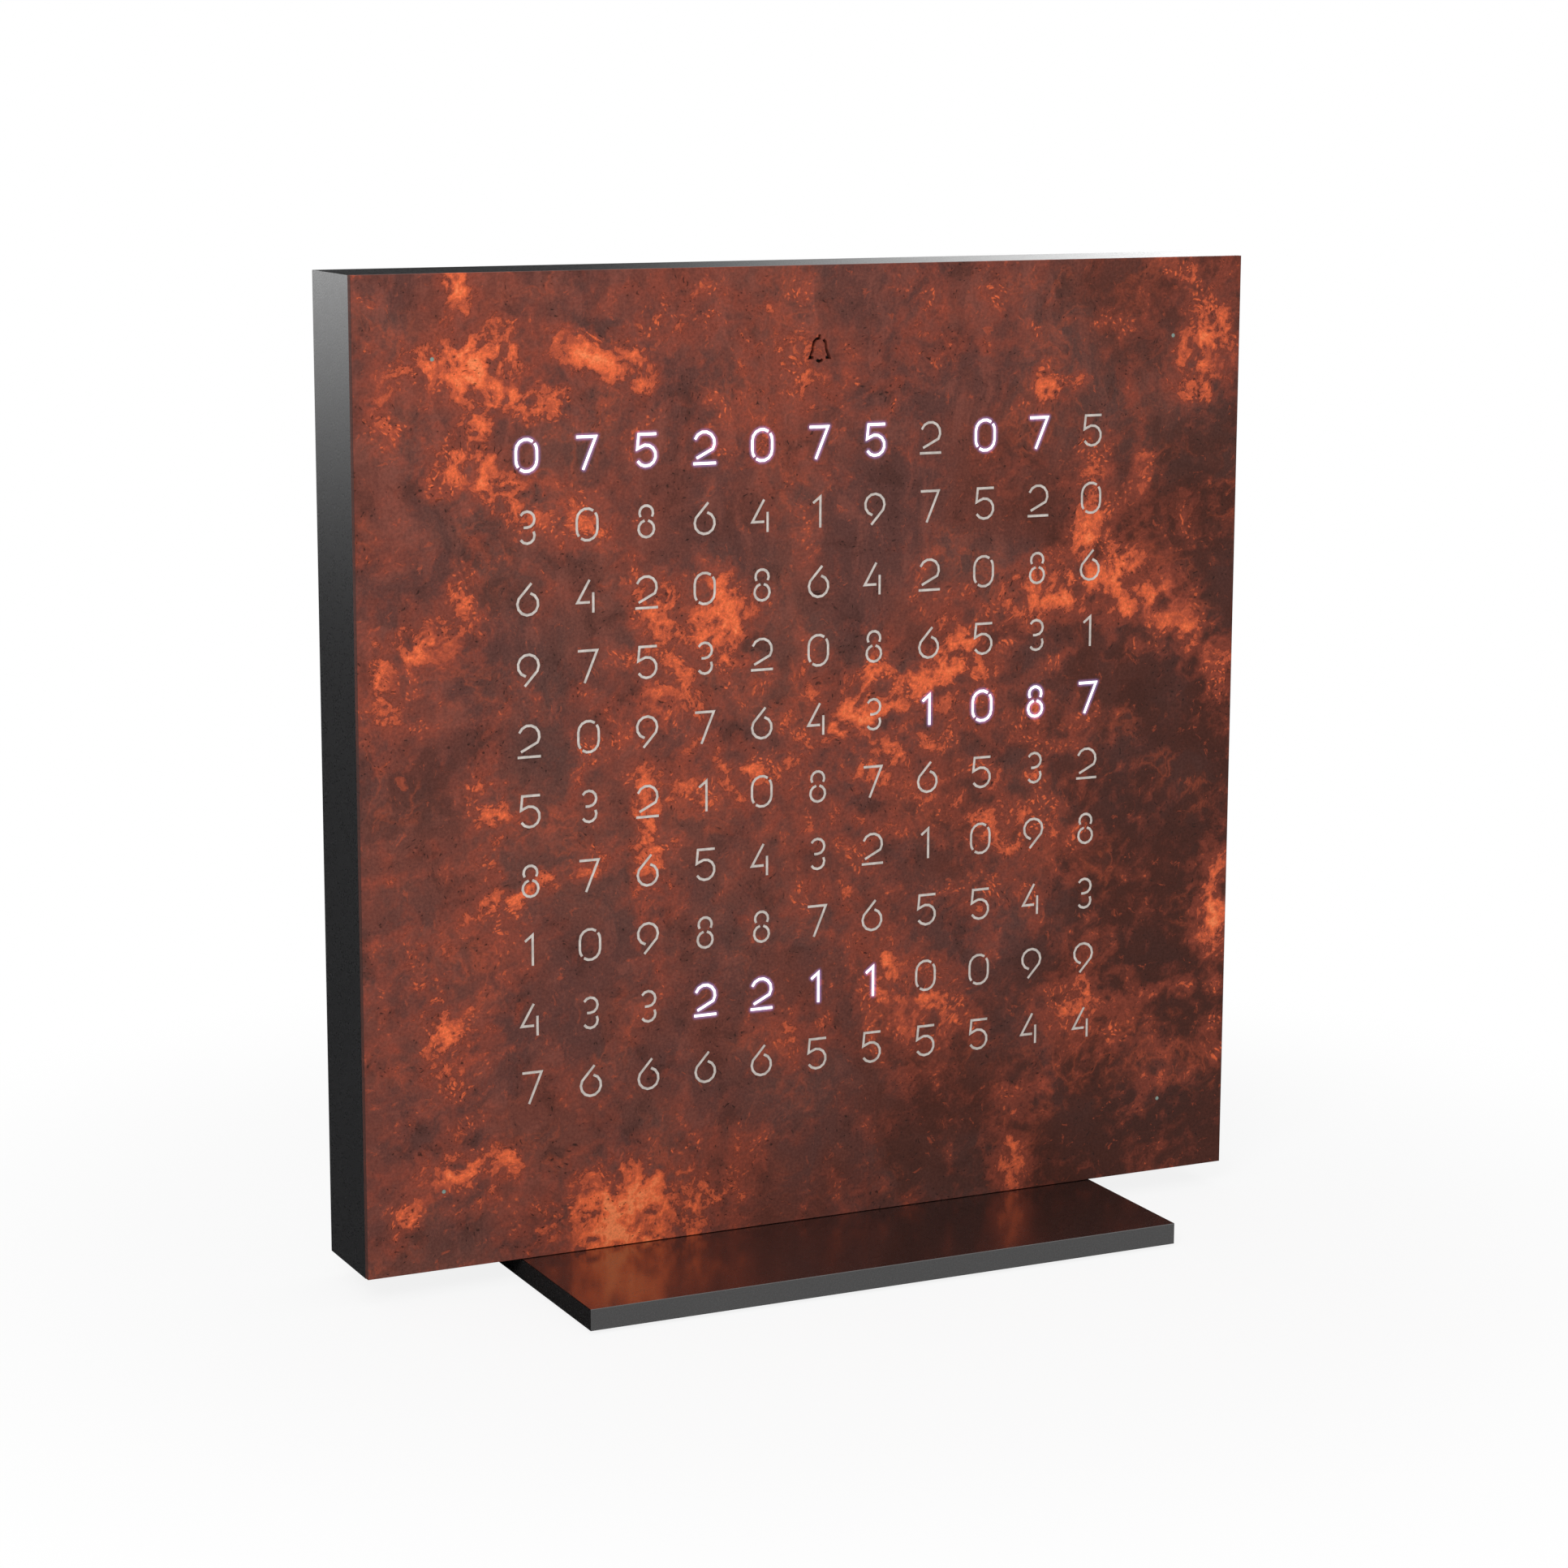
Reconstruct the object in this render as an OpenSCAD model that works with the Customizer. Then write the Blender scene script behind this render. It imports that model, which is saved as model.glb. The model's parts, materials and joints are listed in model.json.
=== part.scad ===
// Square table word clock on a foot plate.
// A rusted steel front plate, stencil cut with a field of numerals, covers a light box
// in a shallow dark housing, which stands upright on a plain rectangular foot.
// Units are millimetres. +X is to the right seen from the front, -Y is the front, +Z is up.
// Depths are measured from the front face of the clock towards its back.

/* [Housing] */
// Width of the clock's body
body_w = 135; // [134:1:160]
// Height of the clock's body, without the foot
body_h = 135; // [134:1:160]
// Depth of the clock's body, front plate included
body_d = 15; // [14.5:0.5:24]
// Thickness of the four side walls
wall_t = 2; // [1.2:0.2:2.8]
// Thickness of the rear cover
cover_t = 1.5; // [1:0.1:1.8]
// How far the rear cover lies below the rims of the side walls
cover_inset = 0.2; // [0:0.1:0.5]
// Gap between the rear cover and the side walls
cover_gap = 0.2; // [0.1:0.05:0.5]

/* [Front plate] */
// Thickness of the steel front plate
plate_t = 1; // [0.8:0.1:1.4]
// Gap under the front plate, above the foot
plate_gap = 0.1; // [0.1:0.1:0.6]
// Number of numerals in a row
columns = 11; // [6:1:12]
// Number of rows of numerals
rows = 10; // [5:1:11]
// Distance of the outermost numerals' centres from the nearest edges of the body
field_margin = 24.2; // [23.6:0.1:27]
// Width of a numeral
numeral_w = 3.4; // [3.2:0.1:3.8]
// Height of a numeral
numeral_h = 4.7; // [4.4:0.1:5.4]
// Width of a numeral's cut stroke
stroke_w = 0.4; // [0.3:0.02:0.46]
// Distance of a corner dot from the two nearest edges of the body
dot_inset = 11.1; // [10:0.1:13]
// Diameter of a corner dot
dot_d = 0.6; // [0.4:0.1:1.2]
// Distance of the bell sign's centre from the top edge of the body
bell_inset = 11.3; // [10.5:0.1:12]
// Width of the bell sign
bell_w = 3.4; // [3:0.1:4.5]
// Height of the bell sign
bell_h = 4.2; // [3.8:0.1:5]
// Width of the bell sign's cut stroke
bell_stroke = 0.44; // [0.3:0.02:0.46]

/* [Diffuser] */
// Thickness of the diffuser's sheet
diffuser_t = 0.6; // [0.4:0.1:1]
// Gap all round a raised numeral in its cut
rib_gap = 0.02; // [0.01:0.01:0.05]
// How far the raised numerals stop short of the front plate's face
rib_recess = 0.05; // [0.02:0.01:0.3]
// Gap between the diffuser and the light grid behind it
light_gap = 0.2; // [0.1:0.05:0.5]
// Gap between the diffuser or the light grid and the bosses that they pass
boss_gap = 0.3; // [0.2:0.05:0.8]
// Border between the side walls and the diffuser
diffuser_border = 5; // [4:0.2:6]

/* [Light grid] */
// Thickness of the walls between two cells
grid_wall = 1; // [0.6:0.1:1.6]
// Border between the side walls and the light grid
grid_border = 5.5; // [4.5:0.5:6]
// Side of the small cell behind a corner dot
dot_cell = 4; // [3:0.5:4.5]
// Width of the cell behind the bell sign
bell_cell_w = 7; // [6:0.5:9]
// Height of the cell behind the bell sign
bell_cell_h = 6; // [5.4:0.1:6.4]

/* [Light board] */
// Thickness of the circuit board
board_t = 1.6; // [1:0.2:1.8]
// Depth of the space behind the circuit board
rear_space = 5.1; // [4.9:0.1:5.6]
// Border between the side walls and the circuit board
board_border = 5; // [4.9:0.1:6]
// Length of a light-emitting diode
led_l = 2; // [1.6:0.1:3]
// Width of a light-emitting diode
led_w = 1.25; // [0.8:0.05:2]
// Height of a light-emitting diode
led_h = 0.7; // [0.4:0.1:1.2]

/* [Bosses, magnets and pins] */
// Width of a boss, out from its side wall
boss_w = 12; // [9:0.5:12.5]
// Height of a boss
boss_h = 18; // [15:0.5:22]
// Distance of a boss's centre above or below the body's centre
boss_spread = 30; // [26:0.5:34]
// Diameter of a holding magnet
magnet_d = 6; // [4:0.5:7]
// Thickness of a holding magnet
magnet_t = 2.5; // [1.5:0.1:3.5]
// Gap round a magnet in its pocket
magnet_gap = 0.05; // [0.02:0.01:0.2]
// Distance from a boss's centre to its magnet and screw, towards the body's centre
magnet_off = 3.5; // [3:0.5:4]
// Distance from a boss's centre to its pin hole, away from the body's centre
pin_off = 5; // [4:0.5:5.5]
// Diameter of a locating pin
pin_d = 2; // [1.6:0.1:2.6]
// Length of a locating pin behind the front plate
pin_l = 3.5; // [2:0.1:4.5]
// Gap round a locating pin in its hole
pin_gap = 0.08; // [0.03:0.01:0.1]
// Depth of a pin hole beyond the pin's end
pin_spare = 0.5; // [0.2:0.1:1]

/* [Screws and stand-offs] */
// Shank diameter of the rear cover's screws
cover_screw_d = 2.5; // [2:0.1:2.8]
// Head diameter of the rear cover's screws
cover_screw_head_d = 4.7; // [4:0.1:5]
// Length of the rear cover's screws, head included
cover_screw_l = 6; // [5:0.5:7.5]
// Depth of a countersunk head
head_h = 1.2; // [0.9:0.1:1.4]
// Width across the flats of a small screw's socket
socket_w = 1.5; // [1.2:0.1:1.8]
// Depth of a screw's socket
socket_d = 0.8; // [0.5:0.1:0.9]
// Gap all round a screw in its hole
screw_gap = 0.1; // [0.05:0.01:0.15]
// Distance of a stand-off from the inner faces of the two nearest walls
standoff_inset = 13.5; // [13:0.1:14]
// Diameter of a stand-off
standoff_d = 4.5; // [4:0.1:5]
// Shank diameter of the board's screws
board_screw_d = 2; // [1.6:0.1:2.2]
// Head diameter of the board's screws
board_screw_head_d = 3.8; // [3.2:0.1:4]
// Head height of the board's screws
board_screw_head_h = 1.3; // [1:0.1:1.6]
// Length of the board's screws below the head
board_screw_l = 4.5; // [3:0.1:5]
// Gap round a board screw's head in the light grid
head_gap = 0.4; // [0.2:0.1:0.5]

/* [Rear controls] */
// Height of the row of buttons and the power inlet, below the body's centre
control_drop = 44; // [42:0.5:46]
// Distance from the body's centre line to the first button
button_x = 18; // [14:0.5:20]
// Distance between two buttons
button_pitch = 10; // [9:0.5:12]
// Number of buttons
buttons = 3; // [3:1:3]
// Diameter of a button
button_d = 5; // [4:0.1:5.4]
// Gap round a button in its hole
button_gap = 0.2; // [0.1:0.05:0.4]
// How far a button stands out of the rear cover
button_proud = 0.8; // [0.5:0.1:1.5]
// Diameter of a button's inner flange
flange_d = 7; // [6.6:0.1:7.6]
// Gap between a button's flange and the rear cover
flange_gap = 0.2; // [0.1:0.05:0.4]
// Travel of a button
button_travel = 0.4; // [0.2:0.05:0.5]
// Side of a push switch
switch_w = 6; // [5:0.1:6.5]
// Height of a push switch's body
switch_h = 2.5; // [2:0.1:2.7]
// Diameter of a push switch's plunger
plunger_d = 3.2; // [2.4:0.1:3.6]
// Gap round a plunger in its switch
plunger_gap = 0.1; // [0.05:0.01:0.2]
// How far a plunger stands out of its switch
plunger_proud = 0.9; // [0.8:0.1:1.2]
// How deep a plunger reaches into its switch at rest
plunger_sunk = 0.6; // [0.3:0.1:0.8]

/* [Power inlet] */
// Width of the inlet's metal shell
inlet_w = 8.9; // [8:0.1:10]
// Height of the inlet's metal shell
inlet_h = 3.2; // [3:0.1:4]
// Wall of the inlet's metal shell
inlet_wall = 0.3; // [0.2:0.05:0.35]
// Gap between the shell and the rear cover
inlet_gap = 0.3; // [0.1:0.1:0.6]
// Width of the inlet's tongue
tongue_w = 6.7; // [5:0.1:7]
// Thickness of the inlet's tongue
tongue_t = 0.7; // [0.5:0.1:1]
// How far the tongue stops short of the shell's mouth
tongue_short = 0.8; // [0.4:0.1:2]
// Thickness of the block that carries the tongue
tongue_base = 1.2; // [0.8:0.1:2]

/* [Electronics] */
// Side of the microcontroller's body
chip_w = 7; // [5:0.5:10]
// Thickness of the microcontroller's body
chip_t = 1; // [0.8:0.1:1.6]
// Number of leads on each side of the microcontroller
chip_leads = 8; // [4:1:8]
// Length of a lead outside the body
lead_l = 1; // [0.6:0.1:1.5]
// Width of a lead
lead_w = 0.35; // [0.2:0.05:0.4]
// Distance between two leads
lead_pitch = 0.7; // [0.5:0.05:0.8]
// Thickness of a lead
lead_t = 0.2; // [0.1:0.05:0.3]
// Drop of the microcontroller below the body's centre
chip_drop = 21; // [20:1:23]
// Drop of the driver chips below the body's centre
driver_drop = 7; // [5:1:8]
// Distance between two driver chips
driver_pitch = 18; // [15:1:20]
// Width of a driver chip
driver_w = 5.3; // [4:0.1:6]
// Length of a driver chip
driver_l = 7.2; // [6:0.1:9]
// Thickness of a driver chip
driver_t = 1.2; // [0.8:0.1:2]
// Length of a capacitor
cap_l = 3.2; // [2:0.1:3.6]
// Width of a capacitor
cap_w = 1.6; // [1:0.1:2.5]
// Height of a capacitor
cap_h = 1.4; // [0.8:0.1:2.5]
// Drop of the capacitors' row below the body's centre
cap_drop = 14; // [13:1:16]
// Distance between two capacitors
cap_pitch = 6; // [4.5:0.5:7]
// Length of the timekeeping crystal's can
crystal_l = 6; // [4:0.5:8]
// Diameter of the timekeeping crystal's can
crystal_d = 2; // [1.4:0.1:3]
// Drop of the crystal below the body's centre
crystal_drop = 22; // [20:1:24]
// Diameter of the backup cell
cell_d = 12.5; // [10:0.5:14]
// Thickness of the backup cell
cell_t = 2; // [1.6:0.1:2.4]
// Floor of the cell holder
holder_floor = 0.6; // [0.4:0.1:0.8]
// Rim of the cell holder
holder_wall = 1; // [0.8:0.1:1.5]
// Gap round the cell in its holder
cell_gap = 0.15; // [0.05:0.05:0.3]
// Thickness of the strap that holds the cell
strap_t = 0.3; // [0.2:0.05:0.4]
// Width of the strap that holds the cell
strap_w = 4; // [3:0.5:6]
// Distance of the cell from the body's centre line
cell_x = -30; // [-34:1:-26]
// Diameter of the alarm's sounder
sounder_d = 12; // [9:0.5:14]
// Thickness of the alarm's sounder
sounder_t = 3; // [2:0.1:4]
// Diameter of the sounder's outlet
sounder_hole_d = 2; // [1.5:0.1:3]
// Distance of the sounder from the body's centre line
sounder_x = 32; // [26:1:36]
// Drop of the cell and the sounder below the body's centre
mid_drop = 26; // [24:1:27]
// Diameter of each sound hole in the rear cover
sound_hole_d = 1.6; // [1:0.1:2]
// Diameter of the ring of sound holes
sound_ring_d = 7; // [6:0.5:8]
// Number of sound holes
sound_holes = 6; // [4:1:8]
// Height of the light sensor above the body's centre
sensor_rise = 29; // [24:1:30]
// Side of the light sensor
sensor_w = 2; // [1.6:0.1:2.6]
// Height of the light sensor
sensor_h = 0.9; // [0.6:0.1:1.5]
// Diameter of the light sensor's window
window_d = 3; // [2.6:0.1:5]
// Gap round the window in the rear cover
window_gap = 0.05; // [0.02:0.01:0.1]
// Length of the window's rod inside the rear cover
window_l = 2; // [1:0.1:3]

/* [Foot] */
// Width of the foot plate
foot_w = 90; // [76:1:120]
// How far the foot plate reaches past the body, at the front and at the back
foot_reach = 24; // [18:1:40]
// Thickness of the foot plate
foot_t = 3; // [2.4:0.2:6]
// Distance between the foot's two screws
foot_screw_spread = 50; // [36:1:60]
// Shank diameter of the foot's screws
foot_screw_d = 3; // [2.5:0.1:4]
// Head diameter of the foot's screws
foot_head_d = 5.6; // [5:0.1:7]
// Depth of the foot screws' countersunk head
foot_head_h = 1.6; // [1.3:0.1:2.2]
// How far a foot screw reaches into the housing
foot_screw_grip = 4.6; // [3:0.1:4.8]
// Width across the flats of a foot screw's socket
foot_socket_w = 2; // [1.5:0.1:2.5]
// Outer diameter of a threaded insert
insert_d = 4.2; // [4.1:0.1:5.5]
// Length of a threaded insert
insert_l = 5; // [4:0.1:5]
// Gap round an insert in its hole
insert_gap = 0.03; // [0.01:0.01:0.1]
// Side of the square block round an insert
block_w = 9; // [8:0.5:10]
// Height of the block, above the bottom wall
block_h = 4.5; // [4:0.1:4.8]
// Diameter of a rubber pad
pad_d = 8; // [5:0.5:10]
// Thickness of a rubber pad
pad_t = 1; // [0.7:0.1:1.5]
// How far a pad stands out below the foot plate
pad_proud = 0.5; // [0.3:0.1:0.6]
// Gap round a pad in its recess
pad_gap = 0.1; // [0.05:0.05:0.3]
// Distance of a pad's centre from the foot's two nearest edges
pad_inset = 7; // [6:0.5:9]

/* [Hidden] */
$fn = 48;
HEX_FN = 6;
ARC_STEP = 30; // degrees in one step along a curved stroke
EIGHT_TOP = 0.465; // the upper bowl's share of the eight

// Heights: the floor is at zero, and the body stands on the foot
body_bottom = pad_proud + foot_t;
mid_z = body_bottom + body_h / 2;

// Depths behind the front face. The light grid takes what the other layers leave.
cover_back = body_d - cover_inset;
cover_depth = cover_back - cover_t;
board_back = cover_depth - rear_space;
board_depth = board_back - board_t;
grid_depth = plate_t + diffuser_t + light_gap;
grid_d = board_depth - grid_depth;

// Places across the face, from the body's centre
inner_w = body_w - 2 * wall_t;
inner_h = body_h - 2 * wall_t;
boss_x = inner_w / 2 - boss_w / 2;
dot_x = body_w / 2 - dot_inset;
dot_y = body_h / 2 - dot_inset;
bell_y = body_h / 2 - bell_inset;
standoff_x = inner_w / 2 - standoff_inset;
standoff_y = inner_h / 2 - standoff_inset;
field_w = body_w - 2 * field_margin;
field_h = body_h - 2 * field_margin;
col_pitch = field_w / (columns - 1);
row_pitch = field_h / (rows - 1);
led_depth = board_depth - led_h;
foot_d = body_d + 2 * foot_reach;
button_depth = board_back + switch_h + plunger_proud;
MIRRORS = [-1, 1];
CORNERS = [for (sx = MIRRORS, sy = MIRRORS) [sx, sy]];
CELLS = [for (r = [0 : rows - 1], c = [0 : columns - 1]) [c, r]];
CAPACITORS = 8;
DRIVERS = 4;
SAFE = 0.01; // cuts run past a face by this much

// Places of the cells, row 0 at the top
function cell_at(c, r) = [c * col_pitch - field_w / 2, field_h / 2 - r * row_pitch];
function numeral_at(c, r) = (7 * c + 3 * r + floor(c * (r + 2) / 4)) % 10;

// ---- Strokes -------------------------------------------------------------
// A stroke is a list of points along its middle. outline() gives it a width,
// with mitred corners and square ends.
function unit(v) = v / norm(v);
function left_of(v) = [-v[1], v[0]];
function last(p) = len(p) - 1;
function way_in(p, i) = unit(i > 0 ? p[i] - p[i - 1] : p[1] - p[0]);
function way_out(p, i) = unit(i < last(p) ? p[i + 1] - p[i] : p[i] - p[i - 1]);
function side(p, w) = [
  for (i = [0 : last(p)])
    let (a = left_of(way_in(p, i)), b = left_of(way_out(p, i)))
      p[i] + w / 2 * (a + b) / (1 + a * b)
];
function backwards(p) = [for (i = [last(p) : -1 : 0]) p[i]];
function outline(p, w) = concat(side(p, w), backwards(side(p, -w)));
function arc(x, y, r, from, to) =
  let (n = max(2, ceil(abs(to - from) / ARC_STEP)))
    [for (i = [0 : n]) let (a = from + (to - from) * i / n) [x + r * cos(a), y + r * sin(a)]];
function turned(p) = [for (q = p) -q];

// Half the width and height of a numeral along the middle of its strokes
nx = (numeral_w - stroke_w) / 2;
ny = (numeral_h - stroke_w) / 2;
// Radii of the bowls of the three, the eight and the five
r3 = ny / 2;
r8 = ny * EIGHT_TOP;
R8 = ny - r8;
r5 = nx * 0.95;

six = concat([[nx * 0.37, ny]], arc(0, nx - ny, nx, 150, 436));

// Plain stencil numerals: a bridge of metal is left wherever a loop would close.
// Their points are shares of the half width and height, and arcs run between two angles.
NUMERALS = [
  [ // 0
    concat(arc(0, ny - nx, nx, 52, 180), arc(0, nx - ny, nx, 180, 218)),
    concat(arc(0, nx - ny, nx, 232, 360), arc(0, ny - nx, nx, 0, 38))
  ],
  [[[-nx * 0.6, ny * 0.6], [nx * 0.15, ny], [nx * 0.15, -ny]]], // 1
  [ // 2
    concat(arc(0, ny - nx, nx, 160, -35), [[-nx * 0.8, -ny * 0.66]]),
    [[-nx - stroke_w / 2, -ny], [nx + stroke_w / 2, -ny]]
  ],
  [ // 3
    concat(arc(0, r3, r3, 150, -90), [[-nx * 0.35, 0]]),
    arc(0, -r3, r3, 30, -150)
  ],
  [ // 4
    [[nx * 0.2, ny], [-nx, -ny * 0.42], [nx * 0.22, -ny * 0.42]],
    [[nx * 0.55, ny * 0.2], [nx * 0.55, -ny - stroke_w / 2]]
  ],
  [ // 5
    concat([[nx, ny], [-nx * 0.72, ny], [-nx * 0.85, ny * 0.1]], arc(0, r5 - ny, r5, 126, -150))
  ],
  [six],
  [[[-nx, ny], [nx * 0.9, ny], [-nx * 0.35, -ny - stroke_w / 4]]], // 7
  [ // 8
    arc(0, ny - r8, r8, 213, -33),
    arc(0, R8 - ny, R8, 78, -258)
  ],
  [turned(six)]
];

// The bell sign: two sides with a bridge beside the crown's knob, and the clapper
bx = (bell_w - bell_stroke) / 2;
by = (bell_h - bell_stroke) / 2;
dome_r = bx * 0.66;
dome_y = by * 0.22;
waist = [bx * 0.7, -by * 0.1];
lip_x = bx * 0.6;
lip_y = -by * 0.68;
BELL = [
  concat(
    [[0, by], [0, dome_y + dome_r]],
    arc(0, dome_y, dome_r, 120, 180),
    [[-waist[0], waist[1]], [-bx, lip_y], [-lip_x, lip_y]]
  ),
  concat(
    arc(0, dome_y, dome_r, 54, 0),
    [waist, [bx, lip_y], [lip_x, lip_y]]
  ),
  arc(0, lip_y, bx / 3, 205, 335)
];

// ---- Helpers -------------------------------------------------------------
// A flat shape, drawn in the plane of the face, from one depth to another
module slab(depth, thick)
  translate([0, depth + thick - body_d / 2, mid_z])
    rotate([90, 0, 0])
      linear_extrude(thick)
        children();

// The same shape at the four corners of a rectangle
module at_corners(x, y)
  for (s = CORNERS)
    translate([s[0] * x, s[1] * y])
      children();

// A cone or cylinder along the depth, d1 at its front end
module depth_cone(x, y, depth, length, d1, d2)
  translate([x, depth - body_d / 2, mid_z + y])
    rotate([-90, 0, 0])
      cylinder(h = length, d1 = d1, d2 = d2);

// An outline with round ends, made of points
module stadium(w, h)
  polygon(concat(arc((w - h) / 2, 0, h / 2, -90, 90), arc((h - w) / 2, 0, h / 2, 90, 270)));

// All the cut or raised numerals, with their strokes thinned by gap on each side
module numeral_field(gap)
  for (cell = CELLS)
    translate(cell_at(cell[0], cell[1]))
      for (stroke = NUMERALS[numeral_at(cell[0], cell[1])])
        polygon(outline(stroke, stroke_w - 2 * gap));

module corner_dots(gap)
  at_corners(dot_x, dot_y)
    circle(d = dot_d - 2 * gap);

module bell_sign()
  translate([0, bell_y])
    for (stroke = BELL)
      polygon(outline(stroke, bell_stroke));

// A square sheet with a border to the walls and notches for the four bosses
module notched_sheet(border)
  difference() {
    square([inner_w - 2 * border, inner_h - 2 * border], center = true);
    at_corners(boss_x, boss_spread)
      square([boss_w + 2 * boss_gap, boss_h + 2 * boss_gap], center = true);
  }

function button_at(i) = button_x + i * button_pitch;

// ---- Front cover ---------------------------------------------------------
module front_plate()
  color([0.45, 0.22, 0.17])
    slab(0, plate_t)
      difference() {
        translate([0, plate_gap / 2])
          square([body_w, body_h - plate_gap], center = true);
        numeral_field(0);
        corner_dots(0);
        bell_sign();
      }

module diffuser()
  color([0.8, 0.78, 0.75])
    union() {
      slab(plate_t, diffuser_t)
        notched_sheet(diffuser_border);
      slab(rib_recess, plate_t - rib_recess + SAFE) {
        numeral_field(rib_gap);
        corner_dots(rib_gap);
      }
    }

module locating_pins()
  color([0.75, 0.75, 0.76])
    slab(plate_t, pin_l)
      at_corners(boss_x, boss_spread + pin_off)
        circle(d = pin_d);

// ---- Housing -------------------------------------------------------------
module foot_block(x)
  translate([x - block_w / 2, -block_w / 2, body_bottom + wall_t - SAFE])
    cube([block_w, block_w, block_h + SAFE]);

module housing_frame()
  color([0.16, 0.16, 0.17])
    difference() {
      union() {
        slab(plate_t, body_d - plate_t)
          difference() {
            square([body_w, body_h], center = true);
            square([inner_w, inner_h], center = true);
          }
        slab(plate_t, cover_depth - plate_t)
          at_corners(boss_x + SAFE / 2, boss_spread)
            square([boss_w + SAFE, boss_h], center = true);
        for (sx = MIRRORS)
          foot_block(sx * foot_screw_spread / 2);
      }
      slab(plate_t - SAFE, magnet_t + SAFE)
        at_corners(boss_x, boss_spread - magnet_off)
          circle(d = magnet_d + 2 * magnet_gap);
      slab(plate_t - SAFE, pin_l + pin_spare + SAFE)
        at_corners(boss_x, boss_spread + pin_off)
          circle(d = pin_d + 2 * pin_gap);
      slab(cover_back - cover_screw_l, cover_screw_l)
        at_corners(boss_x, boss_spread - magnet_off)
          circle(d = cover_screw_d + 2 * screw_gap);
      for (sx = MIRRORS)
        translate([sx * foot_screw_spread / 2, 0, body_bottom - SAFE])
          cylinder(h = insert_l + SAFE, d = insert_d + 2 * insert_gap);
    }

module holding_magnets()
  color([0.8, 0.8, 0.82])
    slab(plate_t, magnet_t)
      at_corners(boss_x, boss_spread - magnet_off)
        circle(d = magnet_d);

module rear_cover()
  color([0.14, 0.14, 0.15])
    difference() {
      slab(cover_depth, cover_t)
        difference() {
          square([inner_w - 2 * cover_gap, inner_h - 2 * cover_gap], center = true);
          for (i = [0 : buttons - 1])
            translate([button_at(i), -control_drop])
              circle(d = button_d + 2 * button_gap);
          translate([0, -control_drop])
            stadium(inlet_w + 2 * inlet_gap, inlet_h + 2 * inlet_gap);
          translate([0, sensor_rise])
            circle(d = window_d + 2 * window_gap);
          translate([sounder_x, -mid_drop])
            for (i = [0 : sound_holes - 1])
              rotate(i * 360 / sound_holes)
                translate([sound_ring_d / 2, 0])
                  circle(d = sound_hole_d);
        }
      for (s = CORNERS) {
        x = s[0] * boss_x;
        y = s[1] * (boss_spread - magnet_off);
        hole_d = cover_screw_d + 2 * screw_gap;
        depth_cone(x, y, cover_depth - SAFE, cover_t + 2 * SAFE, hole_d, hole_d);
        depth_cone(x, y, cover_back - head_h, head_h + SAFE, hole_d,
                   cover_screw_head_d + 2 * screw_gap);
      }
    }

module cover_screw(x, y)
  difference() {
    union() {
      depth_cone(x, y, cover_back - cover_screw_l, cover_screw_l - head_h + SAFE,
                 cover_screw_d, cover_screw_d);
      depth_cone(x, y, cover_back - head_h, head_h, cover_screw_d, cover_screw_head_d);
    }
    slab(cover_back - socket_d, socket_d + SAFE)
      translate([x, y])
        circle(d = socket_w / cos(30), $fn = HEX_FN);
  }

module cover_screws()
  color([0.3, 0.3, 0.32])
    for (s = CORNERS)
      cover_screw(s[0] * boss_x, s[1] * (boss_spread - magnet_off));

// ---- Light box -----------------------------------------------------------
module light_grid()
  color([0.08, 0.08, 0.08])
    slab(grid_depth, grid_d)
      difference() {
        notched_sheet(grid_border);
        for (cell = CELLS)
          translate(cell_at(cell[0], cell[1]))
            square([col_pitch - grid_wall, row_pitch - grid_wall], center = true);
        at_corners(dot_x, dot_y)
          square(dot_cell, center = true);
        translate([0, bell_y])
          square([bell_cell_w, bell_cell_h], center = true);
        at_corners(standoff_x, standoff_y)
          circle(d = board_screw_head_d + 2 * head_gap);
      }

module light_board()
  color([0.05, 0.25, 0.14])
    slab(board_depth, board_t)
      difference() {
        notched_sheet(board_border);
        at_corners(standoff_x, standoff_y)
          circle(d = board_screw_d + 2 * screw_gap);
      }

module light_diodes()
  color([0.95, 0.93, 0.8])
    slab(led_depth, led_h) {
      for (cell = CELLS)
        translate(cell_at(cell[0], cell[1]))
          square([led_l, led_w], center = true);
      at_corners(dot_x, dot_y)
        square([led_l, led_w], center = true);
      translate([0, bell_y])
        square([led_l, led_w], center = true);
    }

module board_standoffs()
  color([0.72, 0.58, 0.3])
    difference() {
      slab(board_back, rear_space)
        at_corners(standoff_x, standoff_y)
          circle(d = standoff_d);
      slab(board_back - SAFE, board_screw_l - board_t + SAFE)
        at_corners(standoff_x, standoff_y)
          circle(d = board_screw_d + 2 * screw_gap);
    }

module board_screws()
  color([0.7, 0.7, 0.72])
    for (s = CORNERS)
      difference() {
        union() {
          depth_cone(s[0] * standoff_x, s[1] * standoff_y, board_depth - SAFE, board_screw_l + SAFE,
                     board_screw_d, board_screw_d);
          depth_cone(s[0] * standoff_x, s[1] * standoff_y, board_depth - board_screw_head_h,
                     board_screw_head_h, board_screw_head_d, board_screw_head_d);
        }
        slab(board_depth - board_screw_head_h - SAFE, socket_d)
          translate([s[0] * standoff_x, s[1] * standoff_y])
            circle(d = socket_w / cos(30), $fn = HEX_FN);
      }

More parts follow.
